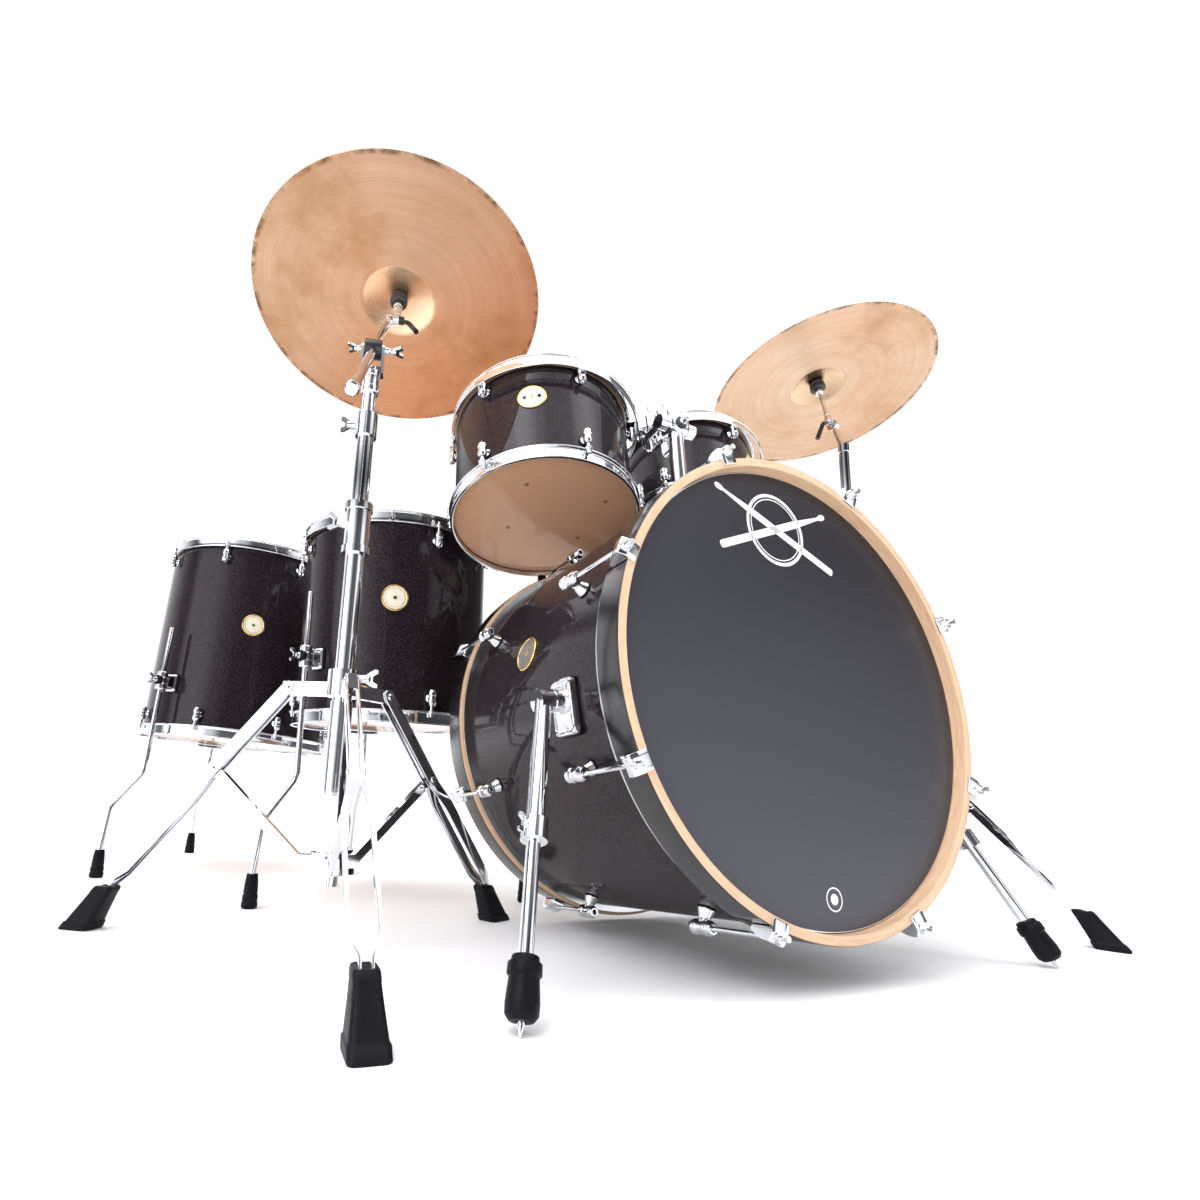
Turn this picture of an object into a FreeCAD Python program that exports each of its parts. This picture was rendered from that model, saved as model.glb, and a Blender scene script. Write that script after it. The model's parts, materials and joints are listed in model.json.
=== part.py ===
import FreeCAD, Part
import math
import os
from types import SimpleNamespace
import Sketcher

V = FreeCAD.Vector
Placement = FreeCAD.Placement
Rotation = FreeCAD.Rotation
UP = V(0, 0, 1)
ROD_GAP = 0.08          # radial clearance of a sliding or turning fit
TOUCH = 0.1             # gap between parts that bear on a curved face
Z_TO_X = Rotation(V(0, 1, 0), 90)
Z_TO_MINUS_Y = Rotation(V(1, 0, 0), 90)

# ---------------------------------------------------------------- driving dimensions (mm, degrees)

DRIVING = {
    # bass drum: 22 x 16 shell, front raised on its spurs
    "bass_radius": 279.4, "bass_wall": 7.5, "bass_shell_depth": 406.4, "bass_depth": 438.0,
    "bass_hoop_inner": 281.5, "bass_hoop_outer": 293.0, "bass_hoop_width": 38.0,
    "bass_rod_circle": 301.4, "bass_lug_inset": 104.0, "bass_centre_height": 340.6, "bass_tilt": 5.237,
    # toms: nominal shell radii and depths
    "tom12_radius": 152.4, "tom12_shell": 203.0, "tom10_radius": 127.0, "tom10_shell": 177.0,
    "floor16_radius": 203.2, "floor16_shell": 428.0, "floor14_radius": 177.8, "floor14_shell": 358.0,
    "tom_wall": 6.0,
    # flanged metal hoops, all offsets measured from a shell's outside or bearing edge
    "rim_wall_in": 3.4, "rim_wall_out": 5.6, "rim_lip_out": 8.5, "rim_flange_out": 10.5, "rim_rise": 11.0,
    "rim_drop": 12.0, "rim_sheet": 2.3, "rim_ear": 6.2, "rod_offset": 11.4, "rod_radius": 2.9,
    "film": 0.5, "lug_inset": 35.0, "lug_half": 14.0, "lug_radius": 7.3,
    # isolation mount of the rack toms
    "band_in": 20.6, "band_out": 22.2, "band_top": 14.6, "band_height": 19.0,
    "bracket_offset": 38.0, "bracket_wide": 32.0, "bracket_deep": 28.0, "bracket_tall": 40.0,
    "arm_radius": 6.35, "post_radius": 12.7, "post_length": 172.0, "receiver_height": 76.0,
    "tom_head_half": 20.0, "badge_radius": 23.5,
    # spurs
    "spur_tube_radius": 9.5, "spur_rod_radius": 7.0, "spur_outer_length": 168.0, "spur_head_radius": 14.0,
    # floor tom legs
    "leg_rod_radius": 5.0, "leg_rod_offset": 29.0, "leg_kick": 58.0, "leg_boot_height": 52.0,
    # cymbal stands
    "foot_radius": 332.5, "hub_pivot_radius": 74.0, "hub_pivot_height": 314.0, "boot_height": 54.0,
    "strut_pivot_radius": 38.0, "strut_pivot_height": 101.0, "strut_along_leg": 140.0,
    "base_tube_radius": 12.7, "sleeve_radius": 14.3, "middle_tube_radius": 11.0, "upper_tube_radius": 9.5,
    "tube_wall": 1.6, "bar_width": 16.0, "bar_sheet": 2.4, "hub_arm_half": 5.0, "pin_radius": 3.0,
    "boom_radius": 6.35, "boom_tail": 235.0, "cymbal_rod_radius": 4.0,
    # cymbals
    "ride_radius": 254.0, "ride_bell": 66.0, "ride_bow": 20.0, "ride_height": 38.0,
    "crash_radius": 228.6, "crash_bell": 56.0, "crash_bow": 17.0, "crash_height": 32.0,
    "cymbal_sheet": 1.3, "cymbal_hole": 6.6,
}

# where each free-standing group stands: x, y on the floor, measured from the kit's origin
KIT_SHIFT = V(7.38, -723.49, 0)
BASS_LUG_COUNT = 8
BASS_LUG_START = 22.5
PLACES = {
    "tom12": dict(top=V(-142.1, 446.5, 862.4), axis=V(0.0763, 0.2646, 1), lugs=6, first_lug=-156, badge=-126,
                  mount=-40, band=(-158, 196)),
    "tom10": dict(top=V(205, 450, 888), axis=V(0.14, 0.29, 1), lugs=6, first_lug=-151, badge=-61,
                  mount=-146, band=(-226, 196)),
    "floor16": dict(top=V(-522.1, 1183.3, 726.1), axis=V(0.0475, 0.0054, 1), lugs=8, first_lug=-118,
                    badge=-95.5, legs=-140, bracket=388),
    "floor14": dict(top=V(-312.1, 720.1, 685.6), axis=V(-0.0264, -0.0145, 1), lugs=8, first_lug=-175,
                    badge=-107.5, legs=-152.5, bracket=418),
}
STANDS = {
    "left": dict(x=-494.8, y=307.8, first_leg=-95.95),
    "right": dict(x=541.0, y=325.0, first_leg=-70.0),
}
SPUR_TIP = V(404, -23, 0.3)

# ---------------------------------------------------------------- document and sheet


class Size:
    """A length that knows both its value and the sheet expression that drives it."""

    def __init__(self, value, text):
        self.value, self.text = float(value), text

    def _join(self, other, sign, value):
        return Size(value, f"({self.text} {sign} {as_size(other).text})")

    def __add__(self, other):
        return self._join(other, "+", self.value + number(other))

    def __sub__(self, other):
        return self._join(other, "-", self.value - number(other))

    def __mul__(self, other):
        return self._join(other, "*", self.value * number(other))

    def __truediv__(self, other):
        return self._join(other, "/", self.value / number(other))

    def __neg__(self):
        return Size(-self.value, f"(0 - {self.text})")

    def __radd__(self, other):
        return as_size(other) + self

    def __rsub__(self, other):
        return as_size(other) - self

    def __rmul__(self, other):
        return as_size(other) * self


def as_size(item):
    return item if isinstance(item, Size) else Size(item, repr(float(item)))


def number(item):
    return item.value if isinstance(item, Size) else float(item)


doc = FreeCAD.newDocument("drum_kit")
sheet = doc.addObject("Spreadsheet::Sheet", "dims")
for row, (alias, dimension) in enumerate(DRIVING.items(), start=1):
    sheet.set(f"A{row}", alias.replace("_", " "))
    sheet.set(f"B{row}", str(dimension))
    sheet.setAlias(f"B{row}", alias)
doc.recompute()
dim = SimpleNamespace(**{alias: Size(sheet.get(alias), f"dims.{alias}") for alias in DRIVING})
nodes = {}
joint_lines = {}

# ---------------------------------------------------------------- building blocks


def at(x=0.0, y=0.0, z=0.0, turn=None):
    """A placement at plain coordinates, with an optional turn."""
    return Placement(V(x, y, z), turn or Rotation())


def bind(obj, prop, item):
    """Drives a property from the sheet, or sets it where the value is a plain number."""
    if isinstance(item, Size):
        obj.setExpression(prop, item.text)
    else:
        setattr(obj, prop, item)


def arc_through(start, end, radius, turn):
    """The minor arc from start to end, counter-clockwise where turn is 1 and clockwise where it is -1."""
    chord = end - start
    rise = math.sqrt(radius ** 2 - chord.Length ** 2 / 4)
    left = V(-chord.y, chord.x, 0).normalize()
    centre = (start + end) / 2 + left * rise * turn
    first, last = (start, end) if turn > 0 else (end, start)
    angles = [math.atan2(p.y - centre.y, p.x - centre.x) for p in (first, last)]
    if angles[1] < angles[0]:
        angles[1] += 2 * math.pi
    return Part.ArcOfCircle(Part.Circle(centre, UP, radius), *angles)


def outline(body, name, plane, corners):
    """A closed sketch whose corners are bound to the sheet. A corner (x, y, radius, turn) starts an arc."""
    sketch = body.newObject("Sketcher::SketchObject", name + "_sketch")
    origin = next(o for o in body.Origin.OriginFeatures if o.Role == plane)
    sketch.AttachmentSupport = [(origin, "")]
    sketch.MapMode = "FlatFace"
    points = [V(number(c[0]), number(c[1]), 0) for c in corners]
    ends = []
    for i, corner in enumerate(corners):
        start, end = points[i], points[(i + 1) % len(points)]
        if len(corner) == 4:
            index = sketch.addGeometry(arc_through(start, end, number(corner[2]), corner[3]), False)
            ends.append((index, 1, 2) if corner[3] > 0 else (index, 2, 1))
            radius = sketch.addConstraint(Sketcher.Constraint("Radius", index, number(corner[2])))
            sketch.setExpression(f"Constraints[{radius}]", as_size(corner[2]).text)
        else:
            ends.append((sketch.addGeometry(Part.LineSegment(start, end), False), 1, 2))
    for i, (index, start_end, far_end) in enumerate(ends):
        following = ends[(i + 1) % len(ends)]
        sketch.addConstraint(Sketcher.Constraint("Coincident", index, far_end, following[0], following[1]))
        for kind, item, value in zip(("DistanceX", "DistanceY"), corners[i], (points[i].x, points[i].y)):
            held = sketch.addConstraint(Sketcher.Constraint(kind, -1, 1, index, start_end, value))
            sketch.setExpression(f"Constraints[{held}]", as_size(item).text)
    return sketch


def revolve(name, corners, angle=360):
    """A body turned about Z from corners given as (radius, height)."""
    body = doc.addObject("PartDesign::Body", name)
    sketch = outline(body, name, "XZ_Plane", corners)
    turned = body.newObject("PartDesign::Revolution", name + "_turned")
    turned.Profile = sketch
    turned.ReferenceAxis = (sketch, ["V_Axis"])
    turned.Angle = angle
    return body


def extrude(name, plane, corners, width):
    """A body padded to both sides of its sketch plane."""
    body = doc.addObject("PartDesign::Body", name)
    pad = body.newObject("PartDesign::Pad", name + "_pad")
    pad.Profile = outline(body, name, plane, corners)
    pad.Midplane = True
    bind(pad, "Length", as_size(width))
    return body


def cylinder(name, radius, length, place=Placement()):
    """A cylinder along its own Z, from 0 to length."""
    obj = doc.addObject("Part::Cylinder", name)
    bind(obj, "Radius", as_size(radius))
    bind(obj, "Height", as_size(length))
    obj.Placement = place
    return obj


def cone(name, radius, top_radius, length, place=Placement()):
    obj = doc.addObject("Part::Cone", name)
    bind(obj, "Radius1", as_size(radius))
    bind(obj, "Radius2", as_size(top_radius))
    bind(obj, "Height", as_size(length))
    obj.Placement = place
    return obj


def block(name, low, high, place=Placement()):
    """A box between two corners, each a tuple of numbers or sizes."""
    obj = doc.addObject("Part::Box", name)
    for prop, a, b in zip(("Length", "Width", "Height"), low, high):
        bind(obj, prop, as_size(b) - as_size(a))
    obj.Placement = place.multiply(Placement(V(*[number(a) for a in low]), Rotation()))
    return obj


def fuse(name, parts):
    obj = doc.addObject("Part::MultiFuse", name)
    obj.Shapes = parts
    return obj


def common(name, parts):
    obj = doc.addObject("Part::MultiCommon", name)
    obj.Shapes = parts
    return obj


def cut(name, base, tool):
    obj = doc.addObject("Part::Cut", name)
    obj.Base, obj.Tool = base, tool
    return obj


def group(name, parts):
    obj = doc.addObject("Part::Compound", name)
    obj.Links = parts
    return obj


def copies(name, base, places):
    """Separate solids of one shape, linked to it and set at each place."""
    links = []
    for i, place in enumerate(places):
        link = doc.addObject("App::Link", f"{name}_{i}")
        link.LinkedObject = base
        link.LinkTransform = True
        link.LinkPlacement = place
        links.append(link)
    return group(name + "_set", links)


def node(label, parts):
    """Names a finished sub-part; several parts become one group of separate solids."""
    parts = parts if isinstance(parts, list) else [parts]
    obj = parts[0] if len(parts) == 1 else group(label, parts)
    obj.Label = label
    nodes[label] = obj
    return obj


def joint_line(name, point, axis):
    """Notes the line that a moving part turns about or slides along."""
    joint_lines[name] = (point, V(axis).normalize())


def tube(name, outer, inner, low, high):
    """A straight tube about Z."""
    return revolve(name, [(inner, low), (outer, low), (outer, high), (inner, high)])


def bent_rod(name, points, radius, bend):
    """A round rod along straight runs joined by tangent arcs of the bend radius."""
    edges, start = [], points[0]
    for before, corner, after in zip(points, points[1:], points[2:]):
        into, out = (corner - before).normalize(), (after - corner).normalize()
        half = into.getAngle(out) / 2
        reach = bend * math.tan(half)
        first, last = corner - into * reach, corner + out * reach
        middle = corner + (out - into).normalize() * (bend / math.cos(half) - bend)
        edges += [Part.LineSegment(start, first).toShape(), Part.Arc(first, middle, last).toShape()]
        start = last
    edges.append(Part.LineSegment(start, points[-1]).toShape())
    path = Part.Wire(edges)
    direction = (points[1] - points[0]).normalize()
    section = Part.Wire(Part.makeCircle(radius, points[0], direction))
    obj = doc.addObject("Part::Feature", name)
    obj.Shape = path.makePipeShell([section], True, True)
    return obj


def along(point, direction, spin=0):
    """A frame at a point with its Z along a direction."""
    return Placement(point, Rotation(UP, direction).multiply(Rotation(UP, spin)))


def about(azimuth, radius=0.0, height=0.0):
    """A frame that faces outwards at an azimuth round Z, at a radius and height."""
    turn = Placement(V(), Rotation(UP, azimuth))
    return turn.multiply(Placement(V(radius, 0, height), Rotation()))


FLIP = Placement(V(), Rotation(V(1, 0, 0), 180))


def mirrored(point):
    return V(-point.x, point.y, point.z)


def rounded_knob(name, radius, length, place):
    """A wing bolt along its own Z: a collar with two ears that flare out above it."""
    collar = cylinder(name + "_collar", radius, length * 0.8, place)
    low, high = length * 0.5, length + radius
    wing = extrude(name + "_wing", "XZ_Plane", [
        (-radius * 0.8, low), (radius * 0.8, low), (radius * 2.2, high - 4), (radius * 2.1, high),
        (radius * 1.3, high), (radius * 0.6, length * 0.95), (-radius * 0.6, length * 0.95),
        (-radius * 1.3, high), (-radius * 2.1, high), (-radius * 2.2, high - 4)], 3.2)
    wing.Placement = place
    return fuse(name, [collar, wing])


# ---------------------------------------------------------------- bass drum

shift = KIT_SHIFT
bass_frame = Placement(shift + V(0, 0, dim.bass_centre_height.value),
                       Rotation(V(1, 0, 0), 90 - dim.bass_tilt.value))
front_edge = (dim.bass_shell_depth - dim.bass_depth) / 2
back_edge = front_edge - dim.bass_shell_depth


def bass_at(azimuth, radius, depth):
    return bass_frame.multiply(about(azimuth, radius, -depth))


def build_bass_drum():
    outer, inner = dim.bass_radius, dim.bass_radius - dim.bass_wall
    edge = 3.0
    shell = revolve("bass_shell_body", [
        (outer, back_edge + edge), (outer, front_edge - edge), (outer - edge, front_edge),
        (inner, front_edge - edge), (inner, back_edge + edge), (outer - edge, back_edge)])
    shell.Placement = bass_frame
    node("bass_shell", shell)

    bevel = 2.0
    hoop = revolve("bass_hoop_body", [
        (dim.bass_hoop_inner + bevel, 0), (dim.bass_hoop_outer - bevel, 0),
        (dim.bass_hoop_outer, -bevel), (dim.bass_hoop_outer, bevel - dim.bass_hoop_width),
        (dim.bass_hoop_outer - bevel, -dim.bass_hoop_width),
        (dim.bass_hoop_inner, -dim.bass_hoop_width), (dim.bass_hoop_inner, -bevel)])
    collar_low = -dim.bass_hoop_width - 8.0
    head = revolve("bass_head_body", [
        (0, front_edge + 0.05), (outer + 0.2, front_edge + 0.05), (outer + 0.2, collar_low),
        (outer + 8.4, collar_low), (outer + 8.4, -dim.bass_hoop_width - 0.2),
        (outer + 1.0, -dim.bass_hoop_width - 0.2), (outer + 1.0, front_edge + 0.05 + dim.film),
        (0, front_edge + 0.05 + dim.film)])
    back = bass_frame.multiply(at(z=-dim.bass_depth.value)).multiply(FLIP)
    node("bass_hoops", copies("bass_hoop", hoop, [bass_frame, back]))
    node("bass_heads", copies("bass_head", head, [bass_frame, back]))

    lift = dim.bass_rod_circle - dim.bass_hoop_outer
    hook, front, deep = 9.0, 3.2, 25.0
    claw_form = extrude("claw_form", "XZ_Plane", [
        (-hook, 0.2), (-hook, front), (lift - 3, front + 1.5), (lift + 7, front - 2), (lift + 7, -deep),
        (0.2, -deep), (0.2, 0.2)], 22)
    claw_hole = cylinder("claw_hole", dim.rod_radius + 0.4, 60, Placement(V(lift.value, 0, -40), Rotation()))
    claw = cut("claw", claw_form, claw_hole)

    reach = dim.bass_rod_circle - dim.bass_radius
    barrel = lug_barrel("bass_lug_barrel", 9.0, 17.0, reach)
    foot = block("bass_lug_foot", (TOUCH, -8, -15), (reach - 6, 8, 15))
    bass_lug = fuse("bass_lug", [barrel, foot])
    key = 3.2
    rod_low = 4 - dim.bass_lug_inset
    rod = revolve("bass_rod", [
        (0, rod_low), (dim.rod_radius, rod_low), (dim.rod_radius, front + 1.7), (6.2, front + 1.7),
        (6.2, front + 4), (key, front + 4), (key, front + 12), (0, front + 12)])
    spots = [BASS_LUG_START + i * 360 / BASS_LUG_COUNT for i in range(BASS_LUG_COUNT)]
    ends = [bass_frame, back]
    node("bass_claws", copies("claw", claw, [
        e.multiply(about(a, dim.bass_hoop_outer.value)) for e in ends for a in spots]))
    lug_depth = -dim.bass_lug_inset.value
    lug_places = [e.multiply(about(a, dim.bass_radius.value, lug_depth)) for e in ends for a in spots]
    rod_places = [e.multiply(about(a, dim.bass_rod_circle.value)) for e in ends for a in spots]
    return copies("bass_lug_copies", bass_lug, lug_places), copies("bass_rod_copies", rod, rod_places)


def lug_barrel(name, radius, half, reach):
    """A rounded lug barrel with a bore for the tension rod, at a reach from the shell."""
    bore, nose = dim.rod_radius + 0.4, 2.5
    barrel = revolve(name, [
        (bore, -half), (radius - nose, -half), (radius, nose - half), (radius, half - nose),
        (radius - nose, half), (bore, half)])
    barrel.Placement = Placement(V(number(reach), 0, 0), Rotation())
    return barrel


def shell_badge(name, shell_radius):
    """A round badge of thin metal, bent to lie on the shell."""
    disc = cylinder(name + "_disc", dim.badge_radius, 20,
                    at(x=number(shell_radius) - 12, turn=Z_TO_X))
    sheet_ring = tube(name + "_ring", shell_radius + 1.5, shell_radius + 0.05, -30, 30)
    return common(name, [disc, sheet_ring])


# ---------------------------------------------------------------- spurs

SPUR_AZIMUTH = -174.0
SPUR_DEPTH = 117.0
SPUR_HEAD_IN = 304.0
SPUR_HEAD_OUT = 322.0


def spur_frames(side):
    """The bracket frame on the shell, the pivot point and the leg's direction for one side."""
    azimuth = SPUR_AZIMUTH if side == "left" else 180 - SPUR_AZIMUTH
    bracket = bass_at(azimuth, dim.bass_radius.value, SPUR_DEPTH)
    pivot = bass_at(azimuth, (SPUR_HEAD_IN + SPUR_HEAD_OUT) / 2, SPUR_DEPTH).Base
    tip = (mirrored(SPUR_TIP) if side == "left" else SPUR_TIP) + shift
    return bracket, pivot, tip


def build_spurs():
    brackets = []
    for side in ("left", "right"):
        bracket_frame, pivot, tip = spur_frames(side)
        outwards = bracket_frame.Rotation.multVec(V(1, 0, 0))
        low = 1 if side == "left" else -1
        plate = block(f"{side}_spur_plate", (-3, -34 + 8 * low, -21), (12, 34 + 8 * low, 21), bracket_frame)
        boss_length = SPUR_HEAD_IN - TOUCH - dim.bass_radius
        boss = cylinder(f"{side}_spur_boss", dim.spur_head_radius - 1, boss_length,
                        along(bracket_frame.Base, outwards))
        core = cylinder(f"{side}_spur_core", dim.bass_radius + TOUCH, 80,
                        bass_frame.multiply(at(z=-SPUR_DEPTH - 40)))
        brackets.append(cut(f"{side}_spur_bracket", fuse(f"{side}_spur_bracket_form", [plate, boss]), core))

        down = (tip - pivot).normalize()
        length = (tip - pivot).Length
        leg_frame = along(pivot, down)
        bore = dim.spur_rod_radius + ROD_GAP
        head = cylinder(f"{side}_spur_head", dim.spur_head_radius, SPUR_HEAD_OUT - SPUR_HEAD_IN,
                        along(pivot - outwards * (SPUR_HEAD_OUT - SPUR_HEAD_IN) / 2, outwards))
        shank = cylinder(f"{side}_spur_shank", dim.spur_tube_radius, dim.spur_outer_length, leg_frame)
        end = dim.spur_outer_length.value
        collar = cylinder(f"{side}_spur_collar", dim.spur_tube_radius + 4, 22,
                          leg_frame.multiply(at(z=end - 20)))
        turn = 90 if side == "left" else -90
        wing_place = leg_frame.multiply(at(z=end - 9, turn=Rotation(UP, turn)))
        wing = rounded_knob(f"{side}_spur_wing", 4.5, 20, wing_place.multiply(at(turn=Z_TO_X)))
        hollow = cylinder(f"{side}_spur_hollow", bore, dim.spur_outer_length, leg_frame.multiply(at(z=30)))
        form = fuse(f"{side}_spur_form", [head, shank, collar, wing])
        node(f"{side}_spur_tube", cut(f"{side}_spur_leg", form, hollow))

        rod_low = 95.0
        foot_top, foot_low = length - 64, length - 12
        inner = revolve(f"{side}_spur_rod", [
            (0, rod_low), (dim.spur_rod_radius, rod_low), (dim.spur_rod_radius, foot_top + 20),
            (3.2, foot_top + 20), (3.2, length - 9), (0.6, length), (0, length)])
        grip = revolve(f"{side}_spur_rubber", [
            (dim.spur_rod_radius, foot_top), (11, foot_top), (11, foot_top + 12), (13.5, foot_top + 16),
            (16.5, foot_low - 8), (14, foot_low), (3.2, foot_low), (3.2, foot_top + 20),
            (dim.spur_rod_radius, foot_top + 20)])
        inner.Placement = grip.Placement = leg_frame
        node(f"{side}_spur_foot", [inner, grip])
        joint_line(f"{side}_spur_fold", pivot, outwards * -low)
        joint_line(f"{side}_spur_length", tip, down)
    node("spur_brackets", brackets)


# ---------------------------------------------------------------- toms


def tom_frame(key):
    """A tom's frame: origin midway between its bearing edges, Z up along its axis."""
    place = PLACES[key]
    axis = V(place["axis"]).normalize()
    half = getattr(dim, key + "_shell").value / 2 + dim.rim_rise.value
    return along(place["top"] + shift - axis * half, axis)


def tom_shapes(key):
    """The shapes that every tom repeats, about its own axis."""
    place = PLACES[key]
    radius, depth = getattr(dim, key + "_radius"), getattr(dim, key + "_shell")
    half, edge = depth / 2, 3.0
    shell = revolve(key + "_shell_body", [
        (radius, edge - half), (radius, half - edge), (radius - edge, half),
        (radius - dim.tom_wall, half - edge), (radius - dim.tom_wall, edge - half), (radius - edge, -half)])
    head = revolve(key + "_head_body", [
        (0, half + 0.05), (radius + 0.2, half + 0.05), (radius + 0.2, half - 9), (radius + 2.9, half - 9),
        (radius + 2.9, half - 3), (radius + 0.9, half - 3), (radius + 0.9, half + 0.05 + dim.film),
        (0, half + 0.05 + dim.film)])
    low, high = half - dim.rim_drop, half + dim.rim_rise
    ring = revolve(key + "_ring", [
        (radius + dim.rim_wall_in, low), (radius + dim.rim_flange_out, low),
        (radius + dim.rim_flange_out, low + dim.rim_sheet), (radius + dim.rim_wall_out, low + dim.rim_sheet),
        (radius + dim.rim_wall_out, high - dim.rim_sheet), (radius + dim.rim_lip_out, high - dim.rim_sheet),
        (radius + dim.rim_lip_out, high), (radius + dim.rim_wall_in, high)])
    spots = [place["first_lug"] + i * 360 / place["lugs"] for i in range(place["lugs"])]
    rod_circle = number(radius + dim.rod_offset)
    ear = cylinder(key + "_ear", dim.rim_ear, dim.rim_sheet)
    hole = cylinder(key + "_hole", dim.rod_radius + 0.35, 10, at(z=-5))
    ears = copies(key + "_ears", ear, [about(a, rod_circle, number(low)) for a in spots])
    holes = copies(key + "_holes", hole, [about(a, rod_circle, number(low)) for a in spots])
    hoop = cut(key + "_hoop", fuse(key + "_hoop_form", [ring, ears]), holes)
    rod = revolve(key + "_rod", [
        (0, low - 32), (dim.rod_radius, low - 32), (dim.rod_radius, low + dim.rim_sheet + 0.1),
        (4.7, low + dim.rim_sheet + 0.1), (4.7, low + dim.rim_sheet + 2), (3.2, low + dim.rim_sheet + 2),
        (3.2, low + dim.rim_sheet + 8), (0, low + dim.rim_sheet + 8)])
    upper, lower = Placement(), FLIP
    lug_height = number(half - dim.lug_inset)
    lug_spots = [about(a, radius.value, lug_height) for a in spots] + \
                [about(a, radius.value, -lug_height) for a in spots]
    rod_spots = [about(a, rod_circle) for a in spots] + [about(a, rod_circle).multiply(FLIP) for a in spots]
    frame = tom_frame(key)
    return dict(
        frame=frame, shell=shell,
        hoops=copies(key + "_hoops", hoop, [frame.multiply(p) for p in (upper, mirror_frame(place))]),
        heads=copies(key + "_heads", head, [frame.multiply(p) for p in (upper, lower)]),
        lugs=copies(key + "_lugs", tom_lug, [frame.multiply(p) for p in lug_spots]),
        rods=copies(key + "_rods", rod, [frame.multiply(p) for p in rod_spots]),
        badge=shell_badge(key + "_badge", radius))


def mirror_frame(place):
    """Turns a drum's top hoop into its bottom hoop with the ears still on the lug lines."""
    return Placement(V(), Rotation(UP, 2 * place["first_lug"])).multiply(FLIP)


def rack_tom_mount(key, frame):
    """The isolation band, its tabs and the bracket that clamps the arm, about the tom's own axis."""
    place = PLACES[key]
    radius, half = getattr(dim, key + "_radius"), getattr(dim, key + "_shell") / 2
    top = half - dim.band_top
    low = top - dim.band_height
    start, sweep = place["band"]
    band = revolve(key + "_band", [
        (radius + dim.band_in, low), (radius + dim.band_out, low), (radius + dim.band_out, top),
        (radius + dim.band_in, top)], sweep)
    band.Placement = at(turn=Rotation(UP, start))
    spots = [place["first_lug"] + i * 360 / place["lugs"] for i in range(place["lugs"])]
    held = [a for a in spots if 4 < (a - start) % 360 < sweep - 4]
    tab = block(key + "_tab", (dim.rod_offset - 6, -7, 0), (dim.band_out - 0.4, 7, 2))
    tabs = copies(key + "_tabs", tab, [about(a, radius.value, top.value) for a in held])
    hole = cylinder(key + "_tab_hole", dim.rod_radius + 0.5, 30, at(z=-15))
    circle = number(radius + dim.rod_offset)
    holes = copies(key + "_tab_holes", hole, [about(a, circle, top.value) for a in held])
    facing = about(place["mount"], radius.value, number(top - dim.bracket_tall / 2))
    face, wide, tall = dim.bracket_offset, dim.bracket_wide / 2, dim.bracket_tall / 2
    clamp = block(key + "_clamp", (dim.band_out - 0.3, -wide, -tall),
                  (face + dim.bracket_deep / 2, wide, tall), facing)
    bolt = rounded_knob(key + "_bolt", 5.5, 20, facing.multiply(
        at(x=number(face + dim.bracket_deep / 2) - 1, turn=Z_TO_X)))
    arm_hole = cylinder(key + "_arm_hole", dim.arm_radius + ROD_GAP, 120,
                        facing.multiply(at(x=face.value, z=-60)))
    form = fuse(key + "_mount_form", [band, tabs, clamp, bolt])
    mount = cut(key + "_mount_body", form, group(key + "_mount_bores", [holes, arm_hole]))
    mount.Placement = frame
    return mount, frame.multiply(facing).multiply(Placement(V(face.value, 0, 0), Rotation()))


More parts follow.
